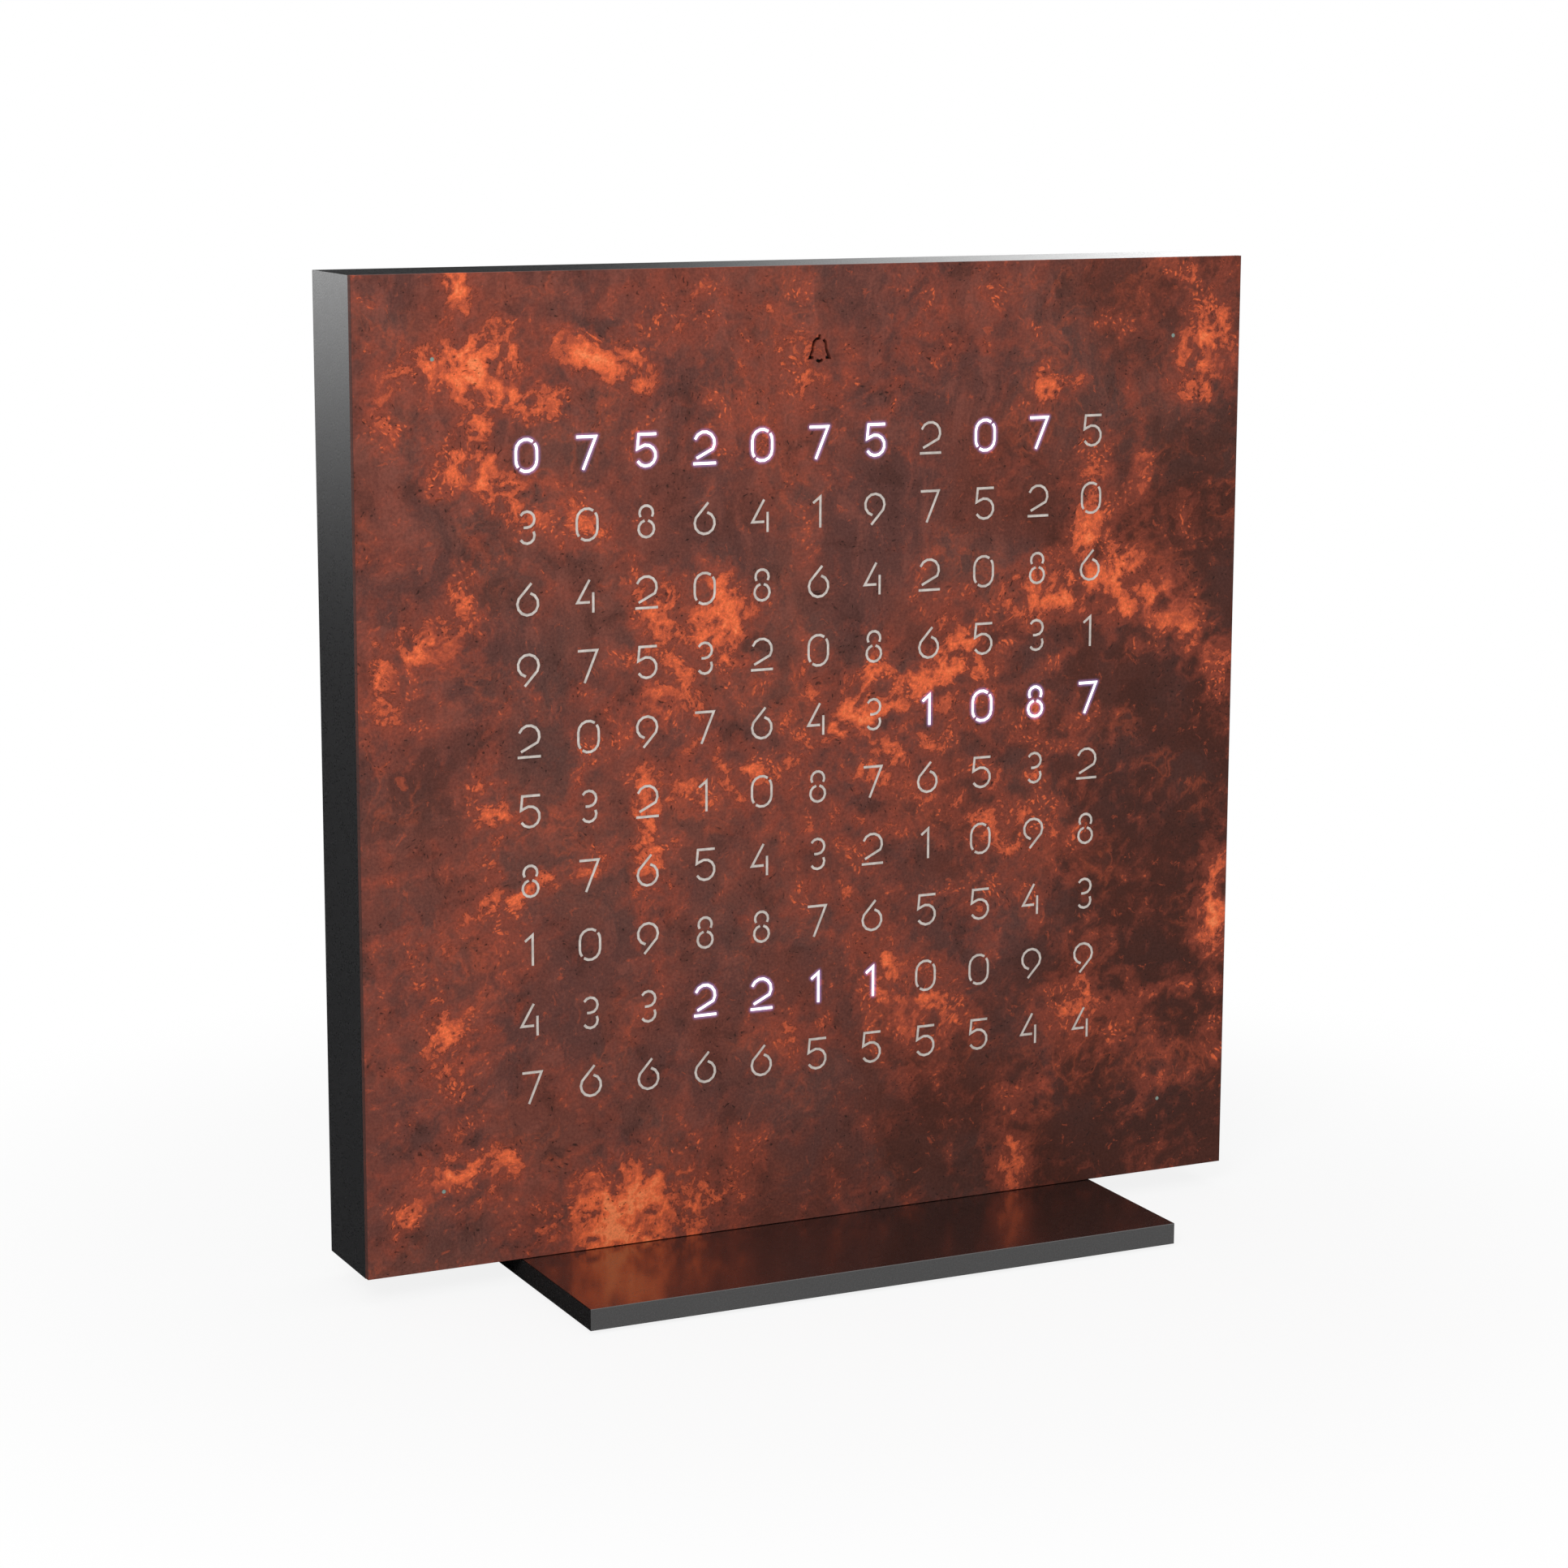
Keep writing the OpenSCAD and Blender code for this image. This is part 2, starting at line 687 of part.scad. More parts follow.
// ---- Electronics on the back of the board --------------------------------
module microcontroller()
  color([0.12, 0.12, 0.12])
    union() {
      slab(board_back + lead_t / 2, chip_t)
        translate([0, -chip_drop])
          square(chip_w, center = true);
      slab(board_back, lead_t)
        translate([0, -chip_drop])
          for (i = [0 : chip_leads - 1]) {
            at = (i - (chip_leads - 1) / 2) * lead_pitch;
            translate([at, 0])
              square([lead_w, chip_w + 2 * lead_l], center = true);
            translate([0, at])
              square([chip_w + 2 * lead_l, lead_w], center = true);
          }
    }

module driver_chips()
  color([0.13, 0.13, 0.14])
    slab(board_back, driver_t)
      for (i = [0 : DRIVERS - 1])
        translate([(i - (DRIVERS - 1) / 2) * driver_pitch, -driver_drop])
          square([driver_w, driver_l], center = true);

module capacitors()
  color([0.72, 0.6, 0.42])
    slab(board_back, cap_h)
      for (i = [0 : CAPACITORS - 1])
        translate([(i - (CAPACITORS - 1) / 2) * cap_pitch, -cap_drop])
          square([cap_w, cap_l], center = true);

module clock_crystal()
  color([0.8, 0.8, 0.82])
    translate([chip_w + lead_l, board_back + crystal_d / 2 - body_d / 2, mid_z - crystal_drop])
      rotate([0, 90, 0])
        cylinder(h = crystal_l, d = crystal_d);

module cell_holder()
  color([0.1, 0.1, 0.1])
    difference() {
      slab(board_back, holder_floor + cell_t)
        translate([cell_x, -mid_drop])
          circle(d = cell_d + 2 * cell_gap + 2 * holder_wall);
      slab(board_back + holder_floor, cell_t + SAFE)
        translate([cell_x, -mid_drop])
          circle(d = cell_d + 2 * cell_gap);
    }

module backup_cell()
  color([0.78, 0.78, 0.78])
    slab(board_back + holder_floor, cell_t)
      translate([cell_x, -mid_drop])
        circle(d = cell_d);

module cell_strap()
  color([0.75, 0.75, 0.74])
    slab(board_back + holder_floor + cell_t, strap_t)
      translate([cell_x, -mid_drop])
        square([cell_d + 2 * cell_gap + 2 * holder_wall, strap_w], center = true);

module alarm_sounder()
  color([0.08, 0.08, 0.08])
    difference() {
      slab(board_back, sounder_t)
        translate([sounder_x, -mid_drop])
          circle(d = sounder_d);
      slab(board_back + sounder_t / 2, sounder_t)
        translate([sounder_x, -mid_drop])
          circle(d = sounder_hole_d);
    }

module light_sensor()
  color([0.2, 0.2, 0.22])
    slab(board_back, sensor_h)
      translate([0, sensor_rise])
        square(sensor_w, center = true);

module sensor_window()
  color([0.85, 0.9, 0.95])
    slab(cover_back - cover_t - window_l, cover_t + window_l)
      translate([0, sensor_rise])
        circle(d = window_d);

module inlet_shell()
  color([0.78, 0.78, 0.8])
    slab(board_back, cover_back - board_back)
      translate([0, -control_drop])
        difference() {
          stadium(inlet_w, inlet_h);
          stadium(inlet_w - 2 * inlet_wall, inlet_h - 2 * inlet_wall);
        }

module inlet_tongue()
  color([0.1, 0.1, 0.1])
    union() {
      slab(board_back, tongue_base)
        translate([0, -control_drop])
          stadium(inlet_w - 2 * inlet_wall - SAFE, inlet_h - 2 * inlet_wall - SAFE);
      slab(board_back, cover_back - board_back - tongue_short)
        translate([0, -control_drop])
          square([tongue_w, tongue_t], center = true);
    }

// ---- Buttons -------------------------------------------------------------
module push_switches()
  color([0.15, 0.15, 0.15])
    for (i = [0 : buttons - 1])
      difference() {
        slab(board_back, switch_h)
          translate([button_at(i), -control_drop])
            square(switch_w, center = true);
        slab(board_back + switch_h - plunger_sunk - button_travel - plunger_gap, switch_h)
          translate([button_at(i), -control_drop])
            circle(d = plunger_d + 2 * plunger_gap);
      }

module plunger(i)
  color([0.85, 0.82, 0.75])
    slab(board_back + switch_h - plunger_sunk, plunger_sunk + plunger_proud)
      translate([button_at(i), -control_drop])
        circle(d = plunger_d);

module button_cap(i)
  color([0.1, 0.1, 0.11])
    union() {
      slab(button_depth, cover_depth - flange_gap - button_depth)
        translate([button_at(i), -control_drop])
          circle(d = flange_d);
      slab(button_depth, cover_back + button_proud - button_depth)
        translate([button_at(i), -control_drop])
          circle(d = button_d);
    }

module switch_plunger_1() plunger(0);
module switch_plunger_2() plunger(1);
module switch_plunger_3() plunger(2);
module button_1() button_cap(0);
module button_2() button_cap(1);
module button_3() button_cap(2);

// ---- Foot ----------------------------------------------------------------
module foot_plate()
  color([0.17, 0.17, 0.18])
    difference() {
      translate([-foot_w / 2, -foot_d / 2, pad_proud])
        cube([foot_w, foot_d, foot_t]);
      for (s = CORNERS)
        translate([s[0] * (foot_w / 2 - pad_inset), s[1] * (foot_d / 2 - pad_inset), -SAFE])
          cylinder(h = pad_t + SAFE, d = pad_d + 2 * pad_gap);
      for (sx = MIRRORS)
        translate([sx * foot_screw_spread / 2, 0, 0]) {
          hole_d = foot_screw_d + 2 * screw_gap;
          cylinder(h = body_bottom + SAFE, d = hole_d);
          translate([0, 0, pad_proud])
            cylinder(h = foot_head_h, d1 = foot_head_d + 2 * screw_gap, d2 = hole_d);
        }
    }

module foot_screws()
  color([0.3, 0.3, 0.32])
    for (sx = MIRRORS)
      translate([sx * foot_screw_spread / 2, 0, pad_proud])
        difference() {
          union() {
            cylinder(h = foot_t + foot_screw_grip, d = foot_screw_d);
            cylinder(h = foot_head_h, d1 = foot_head_d, d2 = foot_screw_d);
          }
          translate([0, 0, -SAFE])
            cylinder(h = socket_d + SAFE, d = foot_socket_w / cos(30), $fn = HEX_FN);
        }

module threaded_inserts()
  color([0.75, 0.6, 0.3])
    for (sx = MIRRORS)
      translate([sx * foot_screw_spread / 2, 0, body_bottom])
        difference() {
          cylinder(h = insert_l, d = insert_d);
          translate([0, 0, -SAFE])
            cylinder(h = insert_l + 2 * SAFE, d = foot_screw_d + 2 * screw_gap);
        }

module foot_pads()
  color([0.05, 0.05, 0.05])
    for (s = CORNERS)
      translate([s[0] * (foot_w / 2 - pad_inset), s[1] * (foot_d / 2 - pad_inset), 0])
        cylinder(h = pad_t, d = pad_d);

front_plate();
diffuser();
locating_pins();
housing_frame();
holding_magnets();
light_grid();
light_board();
light_diodes();
board_standoffs();
board_screws();
microcontroller();
driver_chips();
capacitors();
clock_crystal();
cell_holder();
backup_cell();
cell_strap();
alarm_sounder();
light_sensor();
sensor_window();
inlet_shell();
inlet_tongue();
push_switches();
switch_plunger_1();
switch_plunger_2();
switch_plunger_3();
button_1();
button_2();
button_3();
rear_cover();
cover_screws();
foot_plate();
foot_screws();
threaded_inserts();
foot_pads();
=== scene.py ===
"""Looks of a square table word clock: rusted steel front, lit numerals, dark housing and foot.

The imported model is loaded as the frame. Its nodes get their finishes here, its buttons' caps are made
again with soft edges, and the small pieces that it doesn't hold are built around it. Lengths are in
metres, and in millimetres where a finish is laid out.
"""
import json
import logging
import math
from collections.abc import Iterable
from dataclasses import dataclass, replace
from enum import Enum
from typing import Protocol

import bmesh
import bpy
from mathutils import Matrix, Vector


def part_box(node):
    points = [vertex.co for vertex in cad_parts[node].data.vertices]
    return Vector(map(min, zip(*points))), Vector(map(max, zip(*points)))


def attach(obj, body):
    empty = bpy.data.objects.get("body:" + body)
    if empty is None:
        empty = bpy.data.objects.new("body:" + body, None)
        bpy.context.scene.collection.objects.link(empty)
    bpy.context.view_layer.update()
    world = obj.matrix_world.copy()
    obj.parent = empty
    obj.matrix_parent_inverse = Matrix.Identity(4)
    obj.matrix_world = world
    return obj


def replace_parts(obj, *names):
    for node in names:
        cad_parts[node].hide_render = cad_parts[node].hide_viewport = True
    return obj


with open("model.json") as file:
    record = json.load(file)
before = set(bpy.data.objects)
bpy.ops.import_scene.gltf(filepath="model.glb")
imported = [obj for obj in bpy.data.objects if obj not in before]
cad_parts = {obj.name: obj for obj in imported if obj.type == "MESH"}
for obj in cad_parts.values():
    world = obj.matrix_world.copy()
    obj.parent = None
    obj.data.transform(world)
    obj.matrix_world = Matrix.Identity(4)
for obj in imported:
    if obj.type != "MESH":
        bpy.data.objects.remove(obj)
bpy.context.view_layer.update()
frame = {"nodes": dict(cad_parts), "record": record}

MM = 0.001
log = logging.getLogger("clock")

Colour = tuple[float, float, float]
Place = tuple[float, float, float]
Sockets = dict[int | str, object]
BLACK: Colour = (0.0, 0.0, 0.0)
WHITE: Colour = (1.0, 1.0, 1.0)


def linear(*screen: int) -> Colour:
    """Turn a colour as a screen shows it into the linear values that shaders use.

    Args:
        screen: Its red, green and blue on the screen, 0 to 255.

    Returns:
        The three linear values, 0 to 1.
    """
    shares = (value / 255 for value in screen)
    return tuple(s / 12.92 if s <= 0.04045 else ((s + 0.055) / 1.055) ** 2.4 for s in shares)


def shaded(colour: Colour, share: float, lift: float = 0.0) -> Colour:
    """Darken or lighten a colour by a share of itself and a lift, up to white."""
    return tuple(min(1.0, channel * share + lift) for channel in colour)


# ---------------------------------------------------------------- shader maths
class Signal:
    """A shader socket that Python's operators turn into Math nodes."""

    def __init__(self, tree: "Shader", socket: bpy.types.NodeSocket) -> None:
        """Wrap one output socket of a tree."""
        self.tree = tree
        self.socket = socket

    def math(self, operation: str, *others: "Signal | float") -> "Signal":
        """Feed this signal and others to one Math node.

        Args:
            operation: The Math node's operation.
            others: The values of its next sockets.

        Returns:
            The node's result.
        """
        sockets = dict(enumerate((self, *others)))
        return self.tree.add("ShaderNodeMath", {"operation": operation}, sockets)

    def __add__(self, other: "Signal | float") -> "Signal":
        """Add."""
        return self.math("ADD", other)

    def __sub__(self, other: "Signal | float") -> "Signal":
        """Subtract."""
        return self.math("SUBTRACT", other)

    def __rsub__(self, other: float) -> "Signal":
        """Subtract this signal from a number."""
        return self.tree.number(other).math("SUBTRACT", self)

    def __mul__(self, other: "Signal | float") -> "Signal":
        """Multiply."""
        return self.math("MULTIPLY", other)

    def __truediv__(self, other: "Signal | float") -> "Signal":
        """Divide."""
        return self.math("DIVIDE", other)

    def __pow__(self, other: float) -> "Signal":
        """Raise to a power."""
        return self.math("POWER", other)

    def __abs__(self) -> "Signal":
        """Drop the sign."""
        return self.math("ABSOLUTE")

    __radd__ = __add__
    __rmul__ = __mul__

    def least(self, other: "Signal | float") -> "Signal":
        """Take the lesser of two signals."""
        return self.math("MINIMUM", other)

    def most(self, other: "Signal | float") -> "Signal":
        """Take the greater of two signals."""
        return self.math("MAXIMUM", other)

    def rise(self, low: float, high: float, smooth: bool = True) -> "Signal":
        """Go from 0 at low to 1 at high, or down where low is the greater.

        Args:
            low: The value that gives 0.
            high: The value that gives 1.
            smooth: Whether the ends are eased.

        Returns:
            The clamped result.
        """
        kind = "SMOOTHSTEP" if smooth else "LINEAR"
        sockets = {"Value": self, "From Min": low, "From Max": high}
        return self.tree.add("ShaderNodeMapRange", {"interpolation_type": kind}, sockets)

    def swing(self, strength: float) -> "Signal":
        """Turn a noise round one half into one of this strength round nothing."""
        return (self - 0.5) * strength

    def peak(self, middle: float, sharpness: float) -> "Signal":
        """Give 1 where the signal meets a middle, and fall to 0 on both sides of it."""
        return (1 - abs(self - middle) * sharpness).most(0.0)

    def ridge(self, sharpness: float) -> "Signal":
        """Turn a noise round one half into thin bright lines where it crosses the middle."""
        return (1 - abs(self * 2 - 1)) ** sharpness


class Shader:
    """The node tree of a material or a world, with one method that adds any node."""

    def __init__(self, owner: str | bpy.types.World, dimensions: str = "3D") -> None:
        """Start an empty tree.

        Args:
            owner: The name of a new material, or the world that the tree belongs to.
            dimensions: "2D" where its textures lie in one plane, else "3D".
        """
        self.dimensions = dimensions
        self.owner = bpy.data.materials.new(owner) if isinstance(owner, str) else owner
        self.owner.use_nodes = True
        self.tree = self.owner.node_tree
        self.tree.nodes.clear()

    def add(self, kind: str, settings: dict[str, object] | None = None,
            sockets: Sockets | None = None, output: int | str = 0) -> Signal:
        """Add a node, set it, and fill its sockets with values or links.

        Args:
            kind: The node's type.
            settings: Properties set first.
            sockets: Input name or index, and the value, colour or Signal that it takes.
            output: Name or index of the output to return.

        Returns:
            The output as a Signal.
        """
        node = self.tree.nodes.new(kind)
        for key, value in (settings or {}).items():
            setattr(node, key, value)
        for key, value in (sockets or {}).items():
            target = node.inputs[key]
            if isinstance(value, Signal):
                self.tree.links.new(value.socket, target)
            elif target.type == "RGBA":
                target.default_value = (*value[:3], 1.0)
            else:
                target.default_value = value
        return Signal(self, node.outputs[output])

    def number(self, value: float) -> Signal:
        """Give a plain number an output socket."""
        return self.add("ShaderNodeMath", {"operation": "ADD"}, {0: value, 1: 0.0})

    def place(self) -> Signal:
        """Give the place on the object, in millimetres."""
        here = self.add("ShaderNodeTexCoord", output="Object")
        return self.vector("SCALE", here, {"Scale": 1 / MM})

    def vector(self, operation: str, first: Signal, sockets: Sockets) -> Signal:
        """Add a Vector Math node.

        Args:
            operation: What the node does.
            first: Its first vector.
            sockets: Its other sockets.

        Returns:
            The resulting vector, or value for an operation that gives one.
        """
        output = "Value" if operation in ("LENGTH", "DOT_PRODUCT") else "Vector"
        return self.add("ShaderNodeVectorMath", {"operation": operation}, {0: first, **sockets}, output)

    def stretch(self, where: Signal, factors: Place) -> Signal:
        """Multiply a place along each of its axes."""
        return self.vector("MULTIPLY", where, {1: factors})

    def axis(self, where: Signal, name: str) -> Signal:
        """Take X, Y or Z out of a vector."""
        return self.add("ShaderNodeSeparateXYZ", None, {0: where}, name)

    def noise(self, where: Signal, scale: float, detail: float = 4.0, rough: float = 0.55,
              output: str = "Fac") -> Signal:
        """Add a noise texture.

        Args:
            where: The place, in millimetres.
            scale: Features in a millimetre.
            detail: How many finer layers are added.
            rough: How strong the finer layers are.
            output: "Fac" for the value or "Color" for three at once.

        Returns:
            The noise, round one half.
        """
        sockets = {"Vector": where, "Scale": scale, "Detail": detail, "Roughness": rough}
        return self.add("ShaderNodeTexNoise", {"noise_dimensions": self.dimensions}, sockets, output)

    def cells(self, where: Signal, scale: float) -> Signal:
        """Add a cell texture that gives the distance to the nearest cell's point."""
        settings = {"voronoi_dimensions": self.dimensions}
        return self.add("ShaderNodeTexVoronoi", settings, {"Vector": where, "Scale": scale}, "Distance")

    def warp(self, where: Signal, scale: float, reach: float, detail: float = 2.0) -> Signal:
        """Push a place about by a noise.

        Args:
            where: The place, in millimetres.
            scale: The noise's features in a millimetre.
            reach: How far a place is pushed at most, in millimetres.
            detail: The noise's detail.

        Returns:
            The new place.
        """
        push = self.noise(where, scale, detail, output="Color")
        centred = self.vector("SUBTRACT", push, {1: (0.5, 0.5, 0.5)})
        return self.vector("ADD", self.vector("SCALE", centred, {"Scale": reach * 2}), {1: where})

    def blend(self, share: Signal | float, low: Signal | Colour, high: Signal | Colour,
              mode: str = "MIX") -> Signal:
        """Mix two colours.

        Args:
            share: How much of the second colour shows.
            low: The first colour.
            high: The second colour.
            mode: The blend mode.

        Returns:
            The mixed colour.
        """
        settings = {"data_type": "RGBA", "blend_type": mode}
        return self.add("ShaderNodeMix", settings, {0: share, 6: low, 7: high}, 2)

    def layers(self, base: Signal | Colour, *coats: tuple[Signal, Colour]) -> Signal:
        """Lay colours over a base, one after another.

        Args:
            base: The colour beneath.
            coats: How much of each colour shows, and the colour.

        Returns:
            The resulting colour.
        """
        for share, colour in coats:
            base = self.blend(share, base, colour)
        return base

    def bump(self, height: Signal, distance: float, strength: float) -> Signal:
        """Turn a height into a normal.

        Args:
            height: The height, 0 to 1.
            distance: How high 1 is, in millimetres.
            strength: How much of the bump shows.

        Returns:
            The bent normal.
        """
        sockets = {"Height": height, "Distance": distance * MM, "Strength": strength}
        return self.add("ShaderNodeBump", None, sockets)

    def close(self, sockets: dict[str, object]) -> bpy.types.Material:
        """End the tree in a Principled surface with these sockets."""
        self.end(self.add("ShaderNodeBsdfPrincipled", None, sockets))
        return self.owner

    def end(self, surface: Signal) -> None:
        """Link a surface to the tree's output."""
        kind = f"ShaderNodeOutput{self.owner.id_type.title()}"
        self.tree.links.new(surface.socket, self.tree.nodes.new(kind).inputs["Surface"])


# ---------------------------------------------------------------- sizes across the face
@dataclass(frozen=True)
class Field:
    """The front plate's layout in millimetres, with its middle at middle_z above the ground.

    The bell and the corner dots are placed from that middle, and each has some room round it.
    """

    columns: int = 11
    rows: int = 10
    width: float = 86.6
    height: float = 86.6
    plate: float = 135.0
    middle_z: float = 71.0
    dot_spread: float = 56.4
    dot_room: float = 1.0
    bell_z: float = 56.2
    bell_room: float = 3.0

    @property
    def column_pitch(self) -> float:
        """Distance between two columns."""
        return self.width / (self.columns - 1)

    @property
    def row_pitch(self) -> float:
        """Distance between two rows."""
        return self.height / (self.rows - 1)


@dataclass(frozen=True)
class LitRun:
    """A run of lit numerals in one row, with columns and rows counted from the top left."""

    row: int
    first: int
    last: int


LIT_RUNS = (LitRun(0, 0, 6), LitRun(0, 8, 9), LitRun(4, 7, 10), LitRun(8, 3, 6))


@dataclass(frozen=True)
class Patch:
    """A patch of the plate's finish, in millimetres from the middle of the front plate.

    Its radii are along and across it, and its turn is in degrees from level.
    """

    x: float
    z: float
    along: float
    across: float
    turn: float = 0.0
    strength: float = 1.0


# Where the bright rust gathers
PATCHES = (
    Patch(-50.5, 56.5, 5.2, 2.5, 10), Patch(-49.0, 52.8, 7.0, 2.0, -18), Patch(-32.0, 55.8, 5.2, 1.7, -22),
    Patch(-53.3, 65.5, 1.4, 3.0, 0, 0.8), Patch(-62.9, 48.5, 1.5, 3.4, 5, 0.8), Patch(-50.4, 47.4, 1.6, 1.3),
    Patch(-46.5, 39.0, 7.5, 2.3, -26, 0.9), Patch(-35.5, 34.0, 4.0, 0.8, -35, 0.7),
    Patch(-57.5, 18.5, 4.0, 2.4, 25), Patch(-52.5, 24.0, 1.2, 3.8, -10, 0.8),
    Patch(-64.5, 13.5, 1.6, 4.0, 0, 0.8), Patch(-29.3, 29.0, 1.5, 2.2, 10, 0.9),
    Patch(-23.5, 21.5, 2.6, 3.2, 0, 0.8), Patch(-14.0, 19.0, 3.0, 4.2, 20, 0.9),
    Patch(-24.5, 9.0, 4.5, 5.0, 30, 0.8), Patch(-33.0, 5.5, 1.0, 6.0, -25, 0.6),
    Patch(-25.6, -8.5, 2.2, 8.0, 4, 0.8), Patch(-48.3, -4.5, 1.8, 5.2, 0, 0.8),
    Patch(-44.0, -16.0, 6.5, 1.0, 16, 0.9), Patch(-57.0, -11.5, 9.0, 0.7, 4, 0.5),
    Patch(7.5, 5.0, 5.5, 6.0, 0, 0.8), Patch(20.5, 10.5, 4.6, 3.6, 50), Patch(10.0, -1.0, 12.0, 1.8, 12, 0.7),
    Patch(26.5, 0.5, 4.6, 0.7, -35, 0.6), Patch(39.5, 21.5, 5.2, 2.5, 6, 0.95),
    Patch(42.5, 30.0, 2.2, 6.0, -8, 0.9), Patch(49.0, 22.0, 2.8, 5.0, 0, 0.8),
    Patch(57.0, 17.0, 8.2, 2.4, -42, 0.85), Patch(51.5, 38.0, 1.0, 8.0, 8, 0.6),
    Patch(61.5, 55.5, 4.2, 5.5, 0, 0.8), Patch(56.5, 66.0, 5.0, 1.4, -30, 0.6), Patch(38.0, 50.0, 1.7, 1.5),
    Patch(28.0, -12.0, 9.0, 9.5, 0, 0.55), Patch(4.0, -14.5, 6.5, 6.5, 0, 0.5),
    Patch(16.0, -38.5, 4.6, 4.6, 0, 0.8), Patch(10.0, -33.0, 3.0, 4.8, 20, 0.6),
    Patch(44.0, -38.5, 3.6, 5.0, 0, 0.6), Patch(61.0, -40.0, 9.0, 0.8, 0, 0.6),
    Patch(66.0, -29.0, 1.8, 4.6, 0, 0.9), Patch(56.0, -53.0, 4.8, 2.2, 20, 0.6),
    Patch(36.5, -54.0, 4.8, 1.6, 30, 0.7), Patch(31.5, -63.0, 1.6, 5.0, 0, 0.7),
    Patch(-29.5, -63.5, 6.6, 4.6, 0, 1.15), Patch(-15.0, -61.5, 4.6, 3.0, 50, 0.6),
    Patch(-54.5, -53.2, 4.0, 1.5, 0, 0.9), Patch(-47.5, -53.2, 1.6, 1.8, 40),
    Patch(-56.0, -33.0, 4.4, 9.5, 6, 0.62), Patch(-61.5, -60.0, 0.8, 2.4, -30, 0.8),
    Patch(-50.0, -58.0, 2.8, 0.7, 30, 0.8), Patch(-8.0, 52.0, 11.0, 5.5, -8, 0.5),
    Patch(-21.0, 61.0, 9.0, 3.0, 5, 0.45), Patch(18.0, 59.0, 7.0, 3.4, 20, 0.45),
    Patch(-12.0, -2.0, 9.0, 2.6, 4, 0.6), Patch(-2.0, -40.0, 4.0, 2.2, 0, 0.5),
    Patch(34.0, 3.0, 2.0, 6.0, -30, 0.55),
)

# Where the ground is darkest
SHADES = (
    Patch(-49.0, 29.0, 9.0, 7.0, -20, 0.9), Patch(-59.0, -1.0, 10.0, 9.0, 0, 0.9),
    Patch(32.0, 37.0, 4.0, 7.0), Patch(59.0, 2.0, 11.0, 11.0), Patch(49.0, -8.0, 9.0, 8.0),
    Patch(1.0, -13.0, 5.0, 4.0, 0, 0.9), Patch(21.0, -19.0, 5.0, 8.0, 15, 0.9),
    Patch(24.0, -61.0, 13.0, 5.0, 8, 0.8), Patch(56.0, -34.0, 10.0, 4.0), Patch(54.0, -59.0, 9.0, 8.0),
    Patch(-13.0, 33.0, 8.0, 5.0, 0, 0.7), Patch(-46.0, -48.0, 12.0, 5.0, 10, 0.7),
    Patch(60.0, 35.0, 6.0, 9.0, 0, 0.8), Patch(29.5, 16.0, 4.5, 5.0, 40, 1.3),
    Patch(45.0, 10.0, 7.0, 3.0, -12), Patch(40.0, -24.0, 9.0, 8.0, 0, 0.9),
    Patch(-52.0, -64.0, 9.0, 4.0, 0, 0.6),
)


# ---------------------------------------------------------------- finishes
class Finish(Protocol):
    """Anything that builds a material."""

    def build(self) -> bpy.types.Material:
        """Build the material."""


def inside_box(x: Signal, z: Signal, centre: tuple[float, float], half: tuple[float, float]) -> Signal:
    """Give 1 inside a box on the face and 0 outside it.

    Args:
        x: Place across the face, in millimetres.
        z: Place up the face, in millimetres from the middle of the plate.
        centre: The box's centre.
        half: Half its width and height.

    Returns:
        The mask.
    """
    inside_x = abs(x - centre[0]).math("LESS_THAN", half[0])
    inside_z = abs(z - centre[1]).math("LESS_THAN", half[1])
    return inside_x * inside_z


def lit_cells(x: Signal, z: Signal, layout: Field) -> Signal:
    """Give 1 in the cells whose numerals are lit and 0 elsewhere.

    Args:
        x: Place across the face, in millimetres.
        z: Place up the face, in millimetres from the middle of the plate.
        layout: The numerals' field.

    Returns:
        The mask.
    """
    lit: Signal | None = None
    for run in LIT_RUNS:
        middle = ((run.first + run.last) / 2 * layout.column_pitch - layout.width / 2,
                  layout.height / 2 - run.row * layout.row_pitch)
        half = ((run.last - run.first + 1) / 2 * layout.column_pitch, layout.row_pitch / 2)
        box = inside_box(x, z, middle, half)
        lit = box if lit is None else lit.most(box)
    return lit


